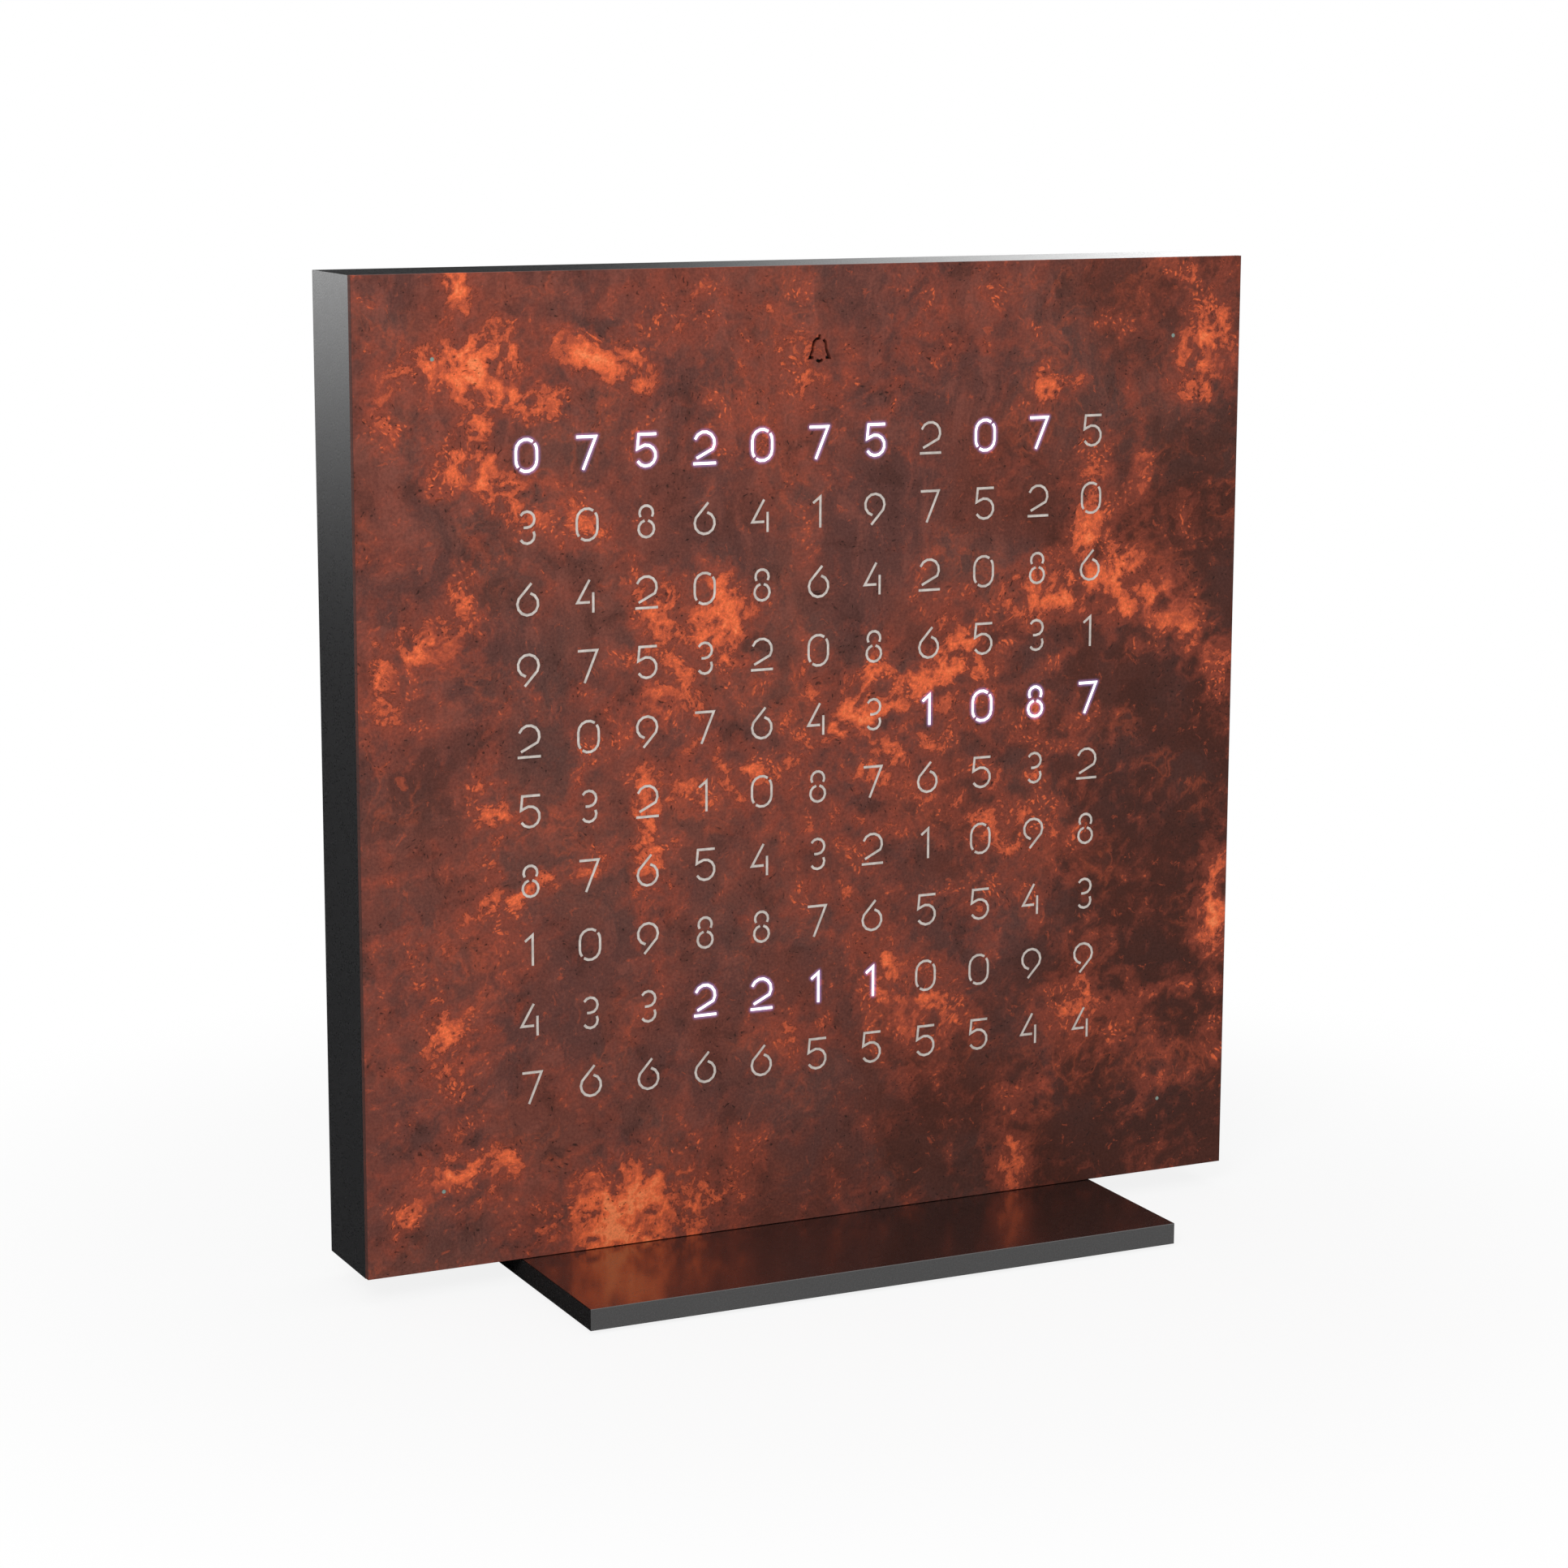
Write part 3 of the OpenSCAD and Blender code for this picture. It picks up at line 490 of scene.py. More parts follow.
class Weather:
    """The places and noises on the front plate that the layers of rust share."""

    def __init__(self, shader: Shader, layout: Field, shade_reach: float) -> None:
        """Bend the face into wandering places and lay the broad noises on them.

        Args:
            shader: The tree to build in.
            layout: The face's sizes.
            shade_reach: How many radii away a dark patch ends.
        """
        self.shader = shader
        here = shader.place()
        self.x = shader.axis(here, "X")
        self.z = shader.axis(here, "Z") - layout.middle_z
        self.flat = shader.add("ShaderNodeCombineXYZ", None, {0: self.x, 1: self.z})
        self.drift = shader.warp(self.flat, 0.05, 3.5)
        self.rough = shader.warp(self.drift, 0.22, 1.6, 3.0)
        self.fine = shader.warp(self.rough, 1.1, 0.35)
        self.torn = shader.warp(shader.warp(self.flat, 0.13, 1.8, 3.0), 0.7, 0.5)
        self.tone = shader.noise(self.rough, 0.05, 5.0, 0.6)
        self.cloud = shader.noise(self.fine, 0.17, 7.0, 0.66)
        self.grain = shader.noise(self.flat, 2.4, 4.0, 0.7)
        self.lumps = shader.noise(self.torn, 0.3, 8.0, 0.66)
        self.crisp = shader.noise(self.drift, 0.09, 3.0).rise(0.35, 0.5)
        self.shade = self.gather(self.rough, SHADES, shade_reach) + self.cloud.swing(1.2)

    def gather(self, where: Signal, patches: Iterable[Patch], reach: float) -> Signal:
        """Lay patches on the face, each 1 at its middle and 0 from some way outside it.

        Args:
            where: The place across the face, in millimetres.
            patches: The patches.
            reach: How many radii away a patch ends.

        Returns:
            The greatest of the patches.
        """
        total: Signal | None = None
        for patch in patches:
            local = self.shader.add("ShaderNodeMapping", {"vector_type": "TEXTURE"}, {
                "Vector": where, "Location": (patch.x, patch.z, 0.0),
                "Rotation": (0.0, 0.0, math.radians(patch.turn)),
                "Scale": (patch.along * reach, patch.across * reach, 1.0)})
            settings = {"gradient_type": "SPHERICAL"}
            near = self.shader.add("ShaderNodeTexGradient", settings, {"Vector": local}, "Fac")
            near = near * patch.strength
            total = near if total is None else total.most(near)
        return total


@dataclass(frozen=True)
class RustPatina:
    """Rust grown on steel sheet under a matt clear coat.

    Its widths and heights are in millimetres, its reaches in radii of a patch and its slant in degrees.
    """

    brown: Colour = linear(94, 57, 51)
    red: Colour = linear(116, 62, 51)
    haze: Colour = linear(148, 82, 68)
    grey: Colour = linear(92, 65, 58)
    dark: Colour = linear(64, 36, 30)
    # Colour of the painted shade towards the lower right of the front: partly darker rust, partly the
    # fall-off of the key lamp's light.
    lower_right_painted_shade: Colour = linear(60, 30, 22)
    pit: Colour = linear(38, 22, 18)
    ember: Colour = linear(157, 73, 54)
    rust: Colour = linear(188, 86, 57)
    orange: Colour = linear(238, 109, 64)
    spark: Colour = linear(255, 150, 96)
    # Colour of the painted glow that the plate emits round the lit numerals.
    painted_halo: Colour = linear(132, 114, 168)
    painted_halo_width: float = 0.7
    painted_halo_bend: float = 0.14
    edge_width: float = 0.08
    relief_height: float = 0.12
    patch_reach: float = 3.2
    shade_reach: float = 1.6
    slant: float = -40.0
    field: Field = Field()

    def _ground(self, face: Weather) -> Signal:
        """Lay the calm ground: brown and red clouds, greyer and darker fields, upright smears, and painted
        shade towards the lower right.

        Args:
            face: The places and noises on the plate.

        Returns:
            The ground's colour.
        """
        shader, tone, cloud = face.shader, face.tone, face.cloud
        greyed = shader.noise(face.drift, 0.035, 3.0).rise(0.46, 0.64)
        smear = shader.noise(shader.stretch(face.drift, (0.3, 0.07, 0.0)), 1.0, 5.0, 0.6)
        # Rises towards the lower right with the rust's tone: painted shade of the lamp's fall-off mixed with
        # darker rust.
        lower_right_shade = (face.x * 1.35 - face.z * 0.5) / self.field.plate + tone.swing(1.3) + cloud.swing(0.5)
        return shader.layers(
            self.brown,
            (tone.rise(0.36, 0.64), self.red),
            (greyed * 0.4, self.grey),
            (smear.rise(0.5, 0.72) * face.z.rise(5, 40) * 0.4, self.haze),
            (cloud.rise(0.52, 0.7) * 0.4, self.haze),
            (lower_right_shade.rise(-0.05, 0.75) * 0.85, self.lower_right_painted_shade),
            (face.shade.rise(0.15, 0.8) * 0.5, self.dark),
            (cloud.rise(0.48, 0.3) * 0.5, self.dark),
        )

    def _growth(self, face: Weather) -> tuple[Signal, Signal]:
        """Grow the rust from the patches' middles outwards, crumbling, with crisp edges here and there.

        Args:
            face: The places and noises on the plate.

        Returns:
            The soft glow of the patches, and the heat that picks the rust's colour.
        """
        shader, torn, lumps, crisp = face.shader, face.torn, face.lumps, face.crisp
        turned = shader.add("ShaderNodeVectorRotate", {"rotation_type": "Z_AXIS"},
                            {"Vector": torn, "Angle": math.radians(self.slant)})
        streak = shader.noise(shader.stretch(turned, (0.4, 1.0, 0.0)), 0.7, 7.0, 0.66)
        broad = shader.noise(torn, 0.08, 5.0, 0.6)
        crackle = shader.noise(face.fine, 1.2, 5.0, 0.75)
        near = face.gather(torn, PATCHES, self.patch_reach)
        calm = face.shade.rise(0.2, 0.9) * 0.35
        glow = near * 1.5 + lumps.swing(1.6) + broad.swing(1.8) + streak.swing(0.9) - calm
        heat = near * 1.6 - 0.32 + lumps.swing(1.7) + streak.swing(0.9)
        heat = heat + broad.swing(1.3) + crackle.swing(0.8) - calm
        heat = heat + heat.rise(0.5, 0.54) * crisp * 0.28 - heat.rise(0.5, 0.2) * crisp * 0.15
        return glow, heat

    def _colour(self, face: Weather, glow: Signal, heat: Signal, pits: Signal) -> Signal:
        """Lay the rust over the ground with painted shadow lines outside its crisp rims, then the strays away
        from the patches and the sheet's dark edge.

        Args:
            face: The places and noises on the plate.
            glow: The soft glow of the patches.
            heat: How far the rust has grown.
            pits: Where the sheet is pitted.

        Returns:
            The plate's colour.
        """
        shader, drift, fine = face.shader, face.drift, face.fine
        rim = heat.peak(0.66, 7) * face.crisp * shader.noise(face.rough, 0.35, 2.0).rise(0.42, 0.55)
        # Painted shadow: a dark line just outside the rust's crisp rims, for relief.
        painted_rim_shadow = heat.peak(0.36, 6) * face.crisp
        beads = shader.cells(fine, 1.1).rise(0.28, 0.14) * shader.noise(drift, 0.16, 3.0).rise(0.5, 0.66)
        beads = beads * glow.rise(0.3, 0.6)
        vein = shader.noise(face.rough, 0.2).ridge(14.0)
        vein = vein * shader.noise(drift, 0.07, 2.0).rise(0.52, 0.7) * 0.8
        flecks = shader.noise(fine, 0.7, 6.0, 0.7).rise(0.6, 0.68) * face.cloud.rise(0.44, 0.58)
        crumbs = shader.cells(fine, 1.7).rise(0.2, 0.06) * heat.rise(0.2, 0.5) * heat.rise(0.8, 0.55)
        half = self.field.plate / 2
        colour = shader.layers(
            self._ground(face),
            (glow.rise(-0.1, 1.0) * 0.8, self.ember),
            (heat.rise(0.1, 0.6) * 0.4, self.ember),
            (painted_rim_shadow * 0.45, self.dark),
            (heat.rise(0.42, 0.85) * 0.85, self.rust),
            (vein.most(flecks).most(crumbs) * 0.5, self.rust),
            (heat.rise(0.8, 1.3).most(rim * 0.9).most(beads * 0.8), self.orange),
            (heat.rise(1.2, 1.7) * 0.6, self.spark),
            (pits * 0.8, self.pit),
            (abs(face.x).rise(half - self.edge_width, half) * 0.8, self.dark),
        )
        speck = face.grain.rise(0.2, 0.8, smooth=False) * 0.6 + 0.7
        specks = shader.add("ShaderNodeCombineColor", None, {0: speck, 1: speck, 2: speck})
        return shader.blend(1.0, colour, specks, "MULTIPLY")

    def _painted_halo(self, face: Weather) -> Signal:
        """Find how near the cut edge of a lit numeral is, by how a bevel there would bend the face.

        Args:
            face: The places and noises on the plate.

        Returns:
            The faint painted glow round the lit numerals, 1 at their edges.
        """
        shader = face.shader
        bevel = shader.add("ShaderNodeBevel", {"samples": 6}, {"Radius": self.painted_halo_width * MM})
        normal = shader.add("ShaderNodeNewGeometry", output="Normal")
        bent = 1 - shader.vector("DOT_PRODUCT", bevel, {1: normal})
        return bent.rise(0.0, self.painted_halo_bend, smooth=False) * lit_cells(face.x, face.z, self.field)

    def build(self) -> bpy.types.Material:
        """Build the material.

        Returns:
            The finished material.
        """
        shader = Shader("rusted_steel", "2D")
        face = Weather(shader, self.field, self.shade_reach)
        glow, heat = self._growth(face)
        pits = shader.cells(face.rough, 0.8).rise(0.14, 0.04) * face.cloud.rise(0.5, 0.4)
        crust = heat.rise(0.4, 0.8)
        relief = face.grain * 0.3 + face.lumps * 0.35 + crust * 0.35 - pits * 0.6
        return shader.close({
            "Base Color": self._colour(face, glow, heat, pits),
            "Roughness": 0.92 - crust * 0.1 - face.grain * 0.2,
            "Specular IOR Level": 0.2,
            # Painted light: the plate glows faintly round the lit numerals.
            "Emission Color": shader.blend(self._painted_halo(face), BLACK, self.painted_halo),
            "Emission Strength": 1.0,
            "Normal": shader.bump(relief, self.relief_height, 0.8),
        })


@dataclass(frozen=True)
class PowderCoat:
    """Fine-grained powder coat on metal, with glossy lacquer over it above a height in millimetres, where a
    dark red-brown tint is a painted reflection of the rusty front.
    """

    name: str = "dark_powder_coat"
    colour: Colour = linear(45, 45, 46)
    roughness: float = 0.3
    grain: float = 3.2
    height: float = 0.03
    gloss: float = 0.5
    lacquer_and_reflection_above: float | None = None
    # Dark red-brown tint of the top: a painted reflection of the rusty front.
    reflection_tint: Colour = linear(26, 13, 10)
    lacquer_roughness: float = 0.14
    lacquer_index: float = 1.8

    def build(self) -> bpy.types.Material:
        """Build the material.

        Returns:
            The finished material.
        """
        shader = Shader(self.name)
        here = shader.place()
        grain = shader.noise(here, self.grain, 3.0, 0.6)
        orange_peel = shader.noise(here, 0.6, 3.0, 0.5)
        lighter = shaded(self.colour, 1.5, 0.004)
        colour = shader.blend(grain.rise(0.3, 0.72), shaded(self.colour, 0.72), lighter)
        sockets = {
            "Base Color": colour,
            "Roughness": self.roughness + grain.swing(0.25) + orange_peel.swing(0.1),
            "Specular IOR Level": self.gloss,
            "Normal": shader.bump(grain * 0.7 + orange_peel * 0.3, self.height, 0.8),
        }
        if self.lacquer_and_reflection_above is not None:
            top = shader.axis(here, "Z").math("GREATER_THAN", self.lacquer_and_reflection_above)
            # The top gets real lacquer and a painted reflection of the rusty front in its colour.
            sockets |= {"Base Color": shader.blend(top * 0.8, colour, self.reflection_tint), "Coat Weight": top,
                        "Coat Roughness": self.lacquer_roughness, "Coat IOR": self.lacquer_index}
        return shader.close(sockets)


@dataclass(frozen=True)
class Plastic:
    """Moulded plastic with a fine eroded texture."""

    name: str
    colour: Colour
    roughness: float = 0.5
    grain: float = 3.0
    height: float = 0.01
    mottle: float = 0.12

    def build(self) -> bpy.types.Material:
        """Build the material.

        Returns:
            The finished material.
        """
        shader = Shader(self.name)
        here = shader.place()
        grain = shader.noise(here, self.grain, 3.0, 0.6)
        broad = shader.noise(here, 0.12, 3.0, 0.5)
        darker, lighter = (shaded(self.colour, 1 + side * self.mottle) for side in (-1, 1))
        return shader.close({
            "Base Color": shader.blend(grain * 0.5 + broad * 0.5, darker, lighter),
            "Roughness": self.roughness + grain.swing(0.2),
            "Normal": shader.bump(grain, self.height, 0.6),
        })


class Tooling(Enum):
    """How a metal surface was finished, as what its marks are multiplied by along each axis."""

    BRUSHED = (0.15, 3.0, 6.0)
    TURNED = (0.6, 8.0, 0.6)
    PLATED = (1.0, 1.0, 1.0)


@dataclass(frozen=True)
class Metal:
    """Bare or plated metal, with the marks of its tooling."""

    name: str
    colour: Colour
    tooling: Tooling = Tooling.PLATED
    roughness: float = 0.3
    mark_height: float = 0.006

    def build(self) -> bpy.types.Material:
        """Build the material.

        Returns:
            The finished material.
        """
        shader = Shader(self.name)
        here = shader.place()
        marks = shader.noise(shader.stretch(here, self.tooling.value), 2.2, 4.0, 0.6)
        smudge = shader.noise(here, 0.25, 4.0, 0.6)
        return shader.close({
            "Base Color": shader.blend(smudge * 0.5 + marks * 0.5, shaded(self.colour, 0.78), self.colour),
            "Metallic": 1.0,
            "Roughness": self.roughness + marks.swing(0.25) + smudge.swing(0.15),
            "Normal": shader.bump(marks, self.mark_height, 0.6),
        })


@dataclass(frozen=True)
class DiffuserPlastic:
    """Pale diffusing plastic that glows white in the cells that are lit, and is painted near black behind the
    bell as the shade of its slots.
    """

    pale: Colour = linear(222, 212, 204)
    dim: Colour = linear(198, 188, 180)
    dot: Colour = linear(136, 156, 146)
    # Near black behind the bell's thin deep slots: painted shade.
    bell_painted_shade: Colour = (0.0008, 0.0004, 0.0004)
    light: Colour = (1.0, 0.985, 1.0)
    strength: float = 1.4
    field: Field = Field()

    def build(self) -> bpy.types.Material:
        """Build the material.

        Returns:
            The finished material.
        """
        shader = Shader("diffuser_plastic")
        face = self.field
        here = shader.place()
        x = shader.axis(here, "X")
        z = shader.axis(here, "Z") - face.middle_z
        bell_shade_area = inside_box(x, z, (0.0, face.bell_z), (face.bell_room, face.bell_room))
        dots = inside_box(abs(x), abs(z), (face.dot_spread, face.dot_spread), (face.dot_room, face.dot_room))
        milk = shader.noise(here, 0.8, 4.0, 0.6)
        return shader.close({
            # The bell's area takes the painted shade of its slots.
            "Base Color": shader.layers(self.dim, (milk.rise(0.35, 0.65), self.pale),
                                        (bell_shade_area, self.bell_painted_shade), (dots, self.dot)),
            "Roughness": 0.55 + milk.swing(0.2),
            "Emission Color": shader.blend(lit_cells(x, z, face), BLACK, self.light),
            "Emission Strength": self.strength,
            "Normal": shader.bump(milk, 0.005, 0.5),
        })


@dataclass(frozen=True)
class BoardLaminate:
    """Green solder mask with copper tracks showing through it."""

    mask: Colour = linear(12, 62, 40)
    track: Colour = linear(30, 96, 62)

    def build(self) -> bpy.types.Material:
        """Build the material.

        Returns:
            The finished material.
        """
        shader = Shader("board_laminate")
        here = shader.place()
        across = {0: shader.axis(here, "X"), 1: shader.axis(here, "Z")}
        lanes = shader.add("ShaderNodeTexBrick", {"offset": 0.37, "squash": 1.4, "squash_frequency": 3}, {
            "Vector": shader.add("ShaderNodeCombineXYZ", None, across),
            "Color1": WHITE, "Color2": WHITE, "Mortar": BLACK,
            "Scale": 0.45, "Mortar Size": 0.035, "Brick Width": 2.4, "Row Height": 0.7}, "Fac")
        weave = shader.noise(here, 1.6, 3.0, 0.6)
        colour = shader.blend(lanes, self.mask, self.track)
        return shader.close({
            "Base Color": shader.blend(weave.rise(0.3, 0.7) * 0.3, colour, self.mask),
            "Roughness": 0.32 + weave.swing(0.2),
            "Normal": shader.bump(lanes * 0.8 + weave * 0.2, 0.02, 0.6),
        })


@dataclass(frozen=True)
class ClearPlastic:
    """Clear plastic light guide."""

    tint: Colour = (0.86, 0.9, 0.92)

    def build(self) -> bpy.types.Material:
        """Build the material.

        Returns:
            The finished material.
        """
        shader = Shader("clear_plastic")
        scuff = shader.noise(shader.place(), 2.0, 3.0, 0.6)
        return shader.close({
            "Base Color": shader.blend(scuff, self.tint, shaded(self.tint, 0.9)),
            "Roughness": scuff * 0.12 + 0.03,
            "Transmission Weight": 0.85,
            "IOR": 1.49,
        })


@dataclass(frozen=True)
class Capacitor:
    """Brown ceramic block with tinned ends, a drop below the middle of the front plate."""

    body: Colour = linear(150, 118, 84)
    tin: Colour = linear(190, 190, 188)
    half_length: float = 1.0
    seam: float = 0.1
    drop: float = 14.0
    field: Field = Field()

    def build(self) -> bpy.types.Material:
        """Build the material.

        Returns:
            The finished material.
        """
        shader = Shader("capacitor_ceramic")
        here = shader.place()
        off = abs(shader.axis(here, "Z") - (self.field.middle_z - self.drop))
        end = off.rise(self.half_length, self.half_length + self.seam)
        speck = shader.noise(here, 4.0, 3.0, 0.6)
        return shader.close({
            "Base Color": shader.layers(self.body, (end, self.tin), (speck * 0.3, shaded(self.body, 0.5))),
            "Metallic": end,
            "Roughness": 0.45 + speck.swing(0.2),
        })


# ---------------------------------------------------------------- nodes, objects and meshes
def dress_nodes(finish: Finish, *nodes: str) -> bpy.types.Material:
    """Build a finish and give it to nodes of the frame.

    Args:
        finish: The finish.
        nodes: The nodes' names.

    Returns:
        The finish's material.
    """
    material = finish.build()
    for node in nodes:
        mesh = frame["nodes"][node].data
        mesh.materials.clear()
        mesh.materials.append(material)
        log.info("finished %s in %s", node, material.name)
    return material


def body_of(node: str) -> str:
    """Name the body that a node belongs to."""
    bodies = frame["record"]["behaviour"]["bodies"]
    return next(body for body, nodes in bodies.items() if node in nodes)


def place_piece(piece: bpy.types.Object, beside: str, material: bpy.types.Material) -> bpy.types.Object:
    """Finish a new piece and let it ride with a node's body.

    Args:
        piece: The piece, with its place in its mesh.
        beside: The node whose body it shares.
        material: Its finish.

    Returns:
        The same piece.
    """
    piece.data.materials.clear()
    piece.data.materials.append(material)
    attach(piece, body_of(beside))
    log.info("made %s with %d faces", piece.name, len(piece.data.polygons))
    return piece


def add_object(name: str, data: bpy.types.ID) -> bpy.types.Object:
    """Make an object and link it to the scene.

    Args:
        name: The object's name.
        data: Its mesh, lamp or camera.

    Returns:
        The object.
    """
    item = bpy.data.objects.new(name, data)
    bpy.context.scene.collection.objects.link(item)
    return item


def sheet(name: str, corners: Iterable[Place], material: bpy.types.Material) -> bpy.types.Object:
    """Make a sheet of one face for the studio.

    Args:
        name: The sheet's name.
        corners: Its four corners in turn.
        material: Its finish.

    Returns:
        The sheet.
    """
    mesh = bpy.data.meshes.new(name)
    mesh.from_pydata(list(corners), [], [(0, 1, 2, 3)])
    mesh.materials.append(material)
    return add_object(name, mesh)


def turned_piece(name: str, profile: Iterable[tuple[float, float]], centre: Vector,
                 sides: int = 64, crease: float = 35.0) -> bpy.types.Object:
    """Turn a profile about an axis that runs from front to back.

    Args:
        name: The piece's name.
        profile: Points as radius and place along the axis, from one end to the other, in metres.
        centre: A point on the axis, whose Y is ignored.
        sides: Steps round the axis.
        crease: The angle in degrees from which an edge stays sharp.

    Returns:
        The closed piece.
    """
    mesh = bmesh.new()
    rings: list[list[bmesh.types.BMVert]] = []
    for radius, along in profile:
        steps = sides if radius else 1
        turns = (2 * math.pi * step / sides for step in range(steps))
        rings.append([mesh.verts.new((centre.x + radius * math.cos(turn), along,
                                      centre.z + radius * math.sin(turn))) for turn in turns])
    for low, high in zip(rings, rings[1:]):
        for i in range(sides):
            j = (i + 1) % sides
            corners = [low[i % len(low)], low[j % len(low)], high[j % len(high)], high[i % len(high)]]
            mesh.faces.new(list(dict.fromkeys(corners)))
    bmesh.ops.recalc_face_normals(mesh, faces=mesh.faces)
    data = bpy.data.meshes.new(name)
    mesh.to_mesh(data)
    mesh.free()
    for face in data.polygons:
        face.use_smooth = True
    data.set_sharp_from_angle(angle=math.radians(crease))
    return add_object(name, data)


class Repeat:
    """A Geometry Nodes tree that puts copies of a small shape at the points of a grid."""

    def __init__(self, name: str, values: dict[str, float | int]) -> None:
        """Start a tree with named inputs.

        Args:
            name: The tree's name.
            values: Named lengths in metres, as floats, and named counts, as whole numbers.
        """
        self.name = name
        self.values = values
        self.tree = bpy.data.node_groups.new(name, "GeometryNodeTree")
        self.inputs: dict[str, str] = {}
        for key, value in values.items():
            kind = "NodeSocketInt" if isinstance(value, int) else "NodeSocketFloat"
            socket = self.tree.interface.new_socket(key, in_out="INPUT", socket_type=kind)
            self.inputs[key] = socket.identifier
        self.tree.interface.new_socket("Geometry", in_out="OUTPUT", socket_type="NodeSocketGeometry")
        self.source = self.tree.nodes.new("NodeGroupInput")

    def add(self, kind: str, sockets: Sockets) -> bpy.types.NodeSocket:
        """Add a node and fill its sockets with values, links or named inputs.

        Args:
            kind: The node's type.
            sockets: Input name or index, and its value, its link, or the name of a tree input.

        Returns:
            The node's first output socket.
        """
        node = self.tree.nodes.new(kind)
        for key, value in sockets.items():
            if isinstance(value, str):
                value = self.source.outputs[value]
            if isinstance(value, bpy.types.NodeSocket):
                self.tree.links.new(value, node.inputs[key])
            else:
                node.inputs[key].default_value = value
        return node.outputs[0]

    def bake(self, shape: bpy.types.NodeSocket, points: bpy.types.NodeSocket,
             material: bpy.types.Material) -> bpy.types.Object:
        """Put the shape at the points and turn the result into a plain mesh.

        Args:
            shape: The small shape.
            points: The points that it is copied to.
            material: Its finish.

        Returns:
            The piece, with its place in its mesh.
        """
        copies = self.add("GeometryNodeInstanceOnPoints", {"Points": points, "Instance": shape})
        real = self.add("GeometryNodeRealizeInstances", {"Geometry": copies})
        dressed = self.add("GeometryNodeSetMaterial", {"Geometry": real, "Material": material})
        self.tree.links.new(dressed, self.tree.nodes.new("NodeGroupOutput").inputs[0])
        holder = add_object(self.name, bpy.data.meshes.new(self.name))
        modifier = holder.modifiers.new(self.name, "NODES")
        modifier.node_group = self.tree
        for key, value in self.values.items():
            modifier[self.inputs[key]] = value
        evaluated = holder.evaluated_get(bpy.context.evaluated_depsgraph_get())
        mesh = bpy.data.meshes.new_from_object(evaluated)
        holder.modifiers.remove(modifier)
        holder.data = mesh
        return holder

    def grid(self, centre: Vector) -> bpy.types.NodeSocket:
        """Lay points in the plane of the face, from the inputs Width, Height, Columns and Rows.

        Args:
            centre: The grid's centre.

        Returns:
            The points.
        """
        sockets = {"Size X": "Width", "Size Y": "Height", "Vertices X": "Columns", "Vertices Y": "Rows"}
        flat = self.add("GeometryNodeMeshGrid", sockets)
        upright = {"Geometry": flat, "Rotation": (math.pi / 2, 0.0, 0.0), "Translation": centre}
        return self.add("GeometryNodeMeshToPoints", {"Mesh": self.add("GeometryNodeTransform", upright)})


# ---------------------------------------------------------------- sub-assemblies
@dataclass
class FrontCover:
    """The rusted plate with its diffuser and pins, which the magnets hold."""

    patina: RustPatina = RustPatina()
    diffuser: DiffuserPlastic = DiffuserPlastic()
    pins: Metal = Metal("pin_steel", linear(196, 196, 196), Tooling.TURNED, 0.28)

    def dress(self) -> None:
        """Finish the cover's nodes."""
        dress_nodes(self.patina, "front_plate")
        dress_nodes(self.diffuser, "diffuser")
        dress_nodes(self.pins, "locating_pins")


@dataclass
class Housing:
    """The side walls, the rear cover, the magnets and the dark screws."""

    coat: PowderCoat = PowderCoat()
    magnets: Metal = Metal("magnet_nickel", linear(214, 212, 208), Tooling.PLATED, 0.16)
    screws: Metal = Metal("black_screw_steel", linear(70, 70, 72), Tooling.TURNED, 0.42)

    def dress(self) -> None:
        """Finish the housing's nodes."""
        dress_nodes(self.coat, "housing_frame", "rear_cover")
        dress_nodes(self.magnets, "holding_magnets")
        dress_nodes(self.screws, "cover_screws", "foot_screws")


@dataclass
class LightBox:
    """The light grid, the board and the diodes with their lenses."""

    grid: Plastic = Plastic("black_plastic", linear(30, 30, 31), 0.6, 2.4, 0.02)
    laminate: BoardLaminate = BoardLaminate()
    package: Plastic = Plastic("diode_package", linear(226, 222, 208), 0.35)
    phosphor: Plastic = Plastic("diode_phosphor", linear(232, 214, 96), 0.22, 6.0)
    brass: Metal = Metal("standoff_brass", linear(202, 164, 92), Tooling.TURNED, 0.3)
    steel: Metal = Metal("screw_steel", linear(188, 188, 184), Tooling.TURNED, 0.33)
    layout: Field = Field()
    lens_radius: float = 0.5 * MM
    lens_rise: float = 0.5

    def dress(self) -> None:
        """Finish the light box's nodes and add the diodes' lenses."""
        dress_nodes(self.grid, "light_grid")
        dress_nodes(self.laminate, "light_board")
        dress_nodes(self.package, "light_diodes")
        dress_nodes(self.brass, "board_standoffs", "threaded_inserts")
        dress_nodes(self.steel, "board_screws")
        self.lenses()

    def lenses(self) -> bpy.types.Object:
        """Set a flat dome of phosphor on the front of each diode of the field.

        Returns:
            The lenses as one piece.
        """
        low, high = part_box("light_diodes")
        layout = self.layout
        centre = Vector(((low.x + high.x) / 2, low.y, layout.middle_z * MM))
        repeat = Repeat("diode_lenses", {"Width": layout.width * MM, "Height": layout.height * MM,
                                         "Radius": self.lens_radius,
                                         "Columns": layout.columns, "Rows": layout.rows})
        dome = repeat.add("GeometryNodeMeshUVSphere", {"Segments": 16, "Rings": 8, "Radius": "Radius"})
        flat = repeat.add("GeometryNodeTransform", {"Geometry": dome, "Scale": (1.0, self.lens_rise, 1.0)})
        material = self.phosphor.build()
        piece = repeat.bake(flat, repeat.grid(centre), material)
        return place_piece(piece, "light_diodes", material)


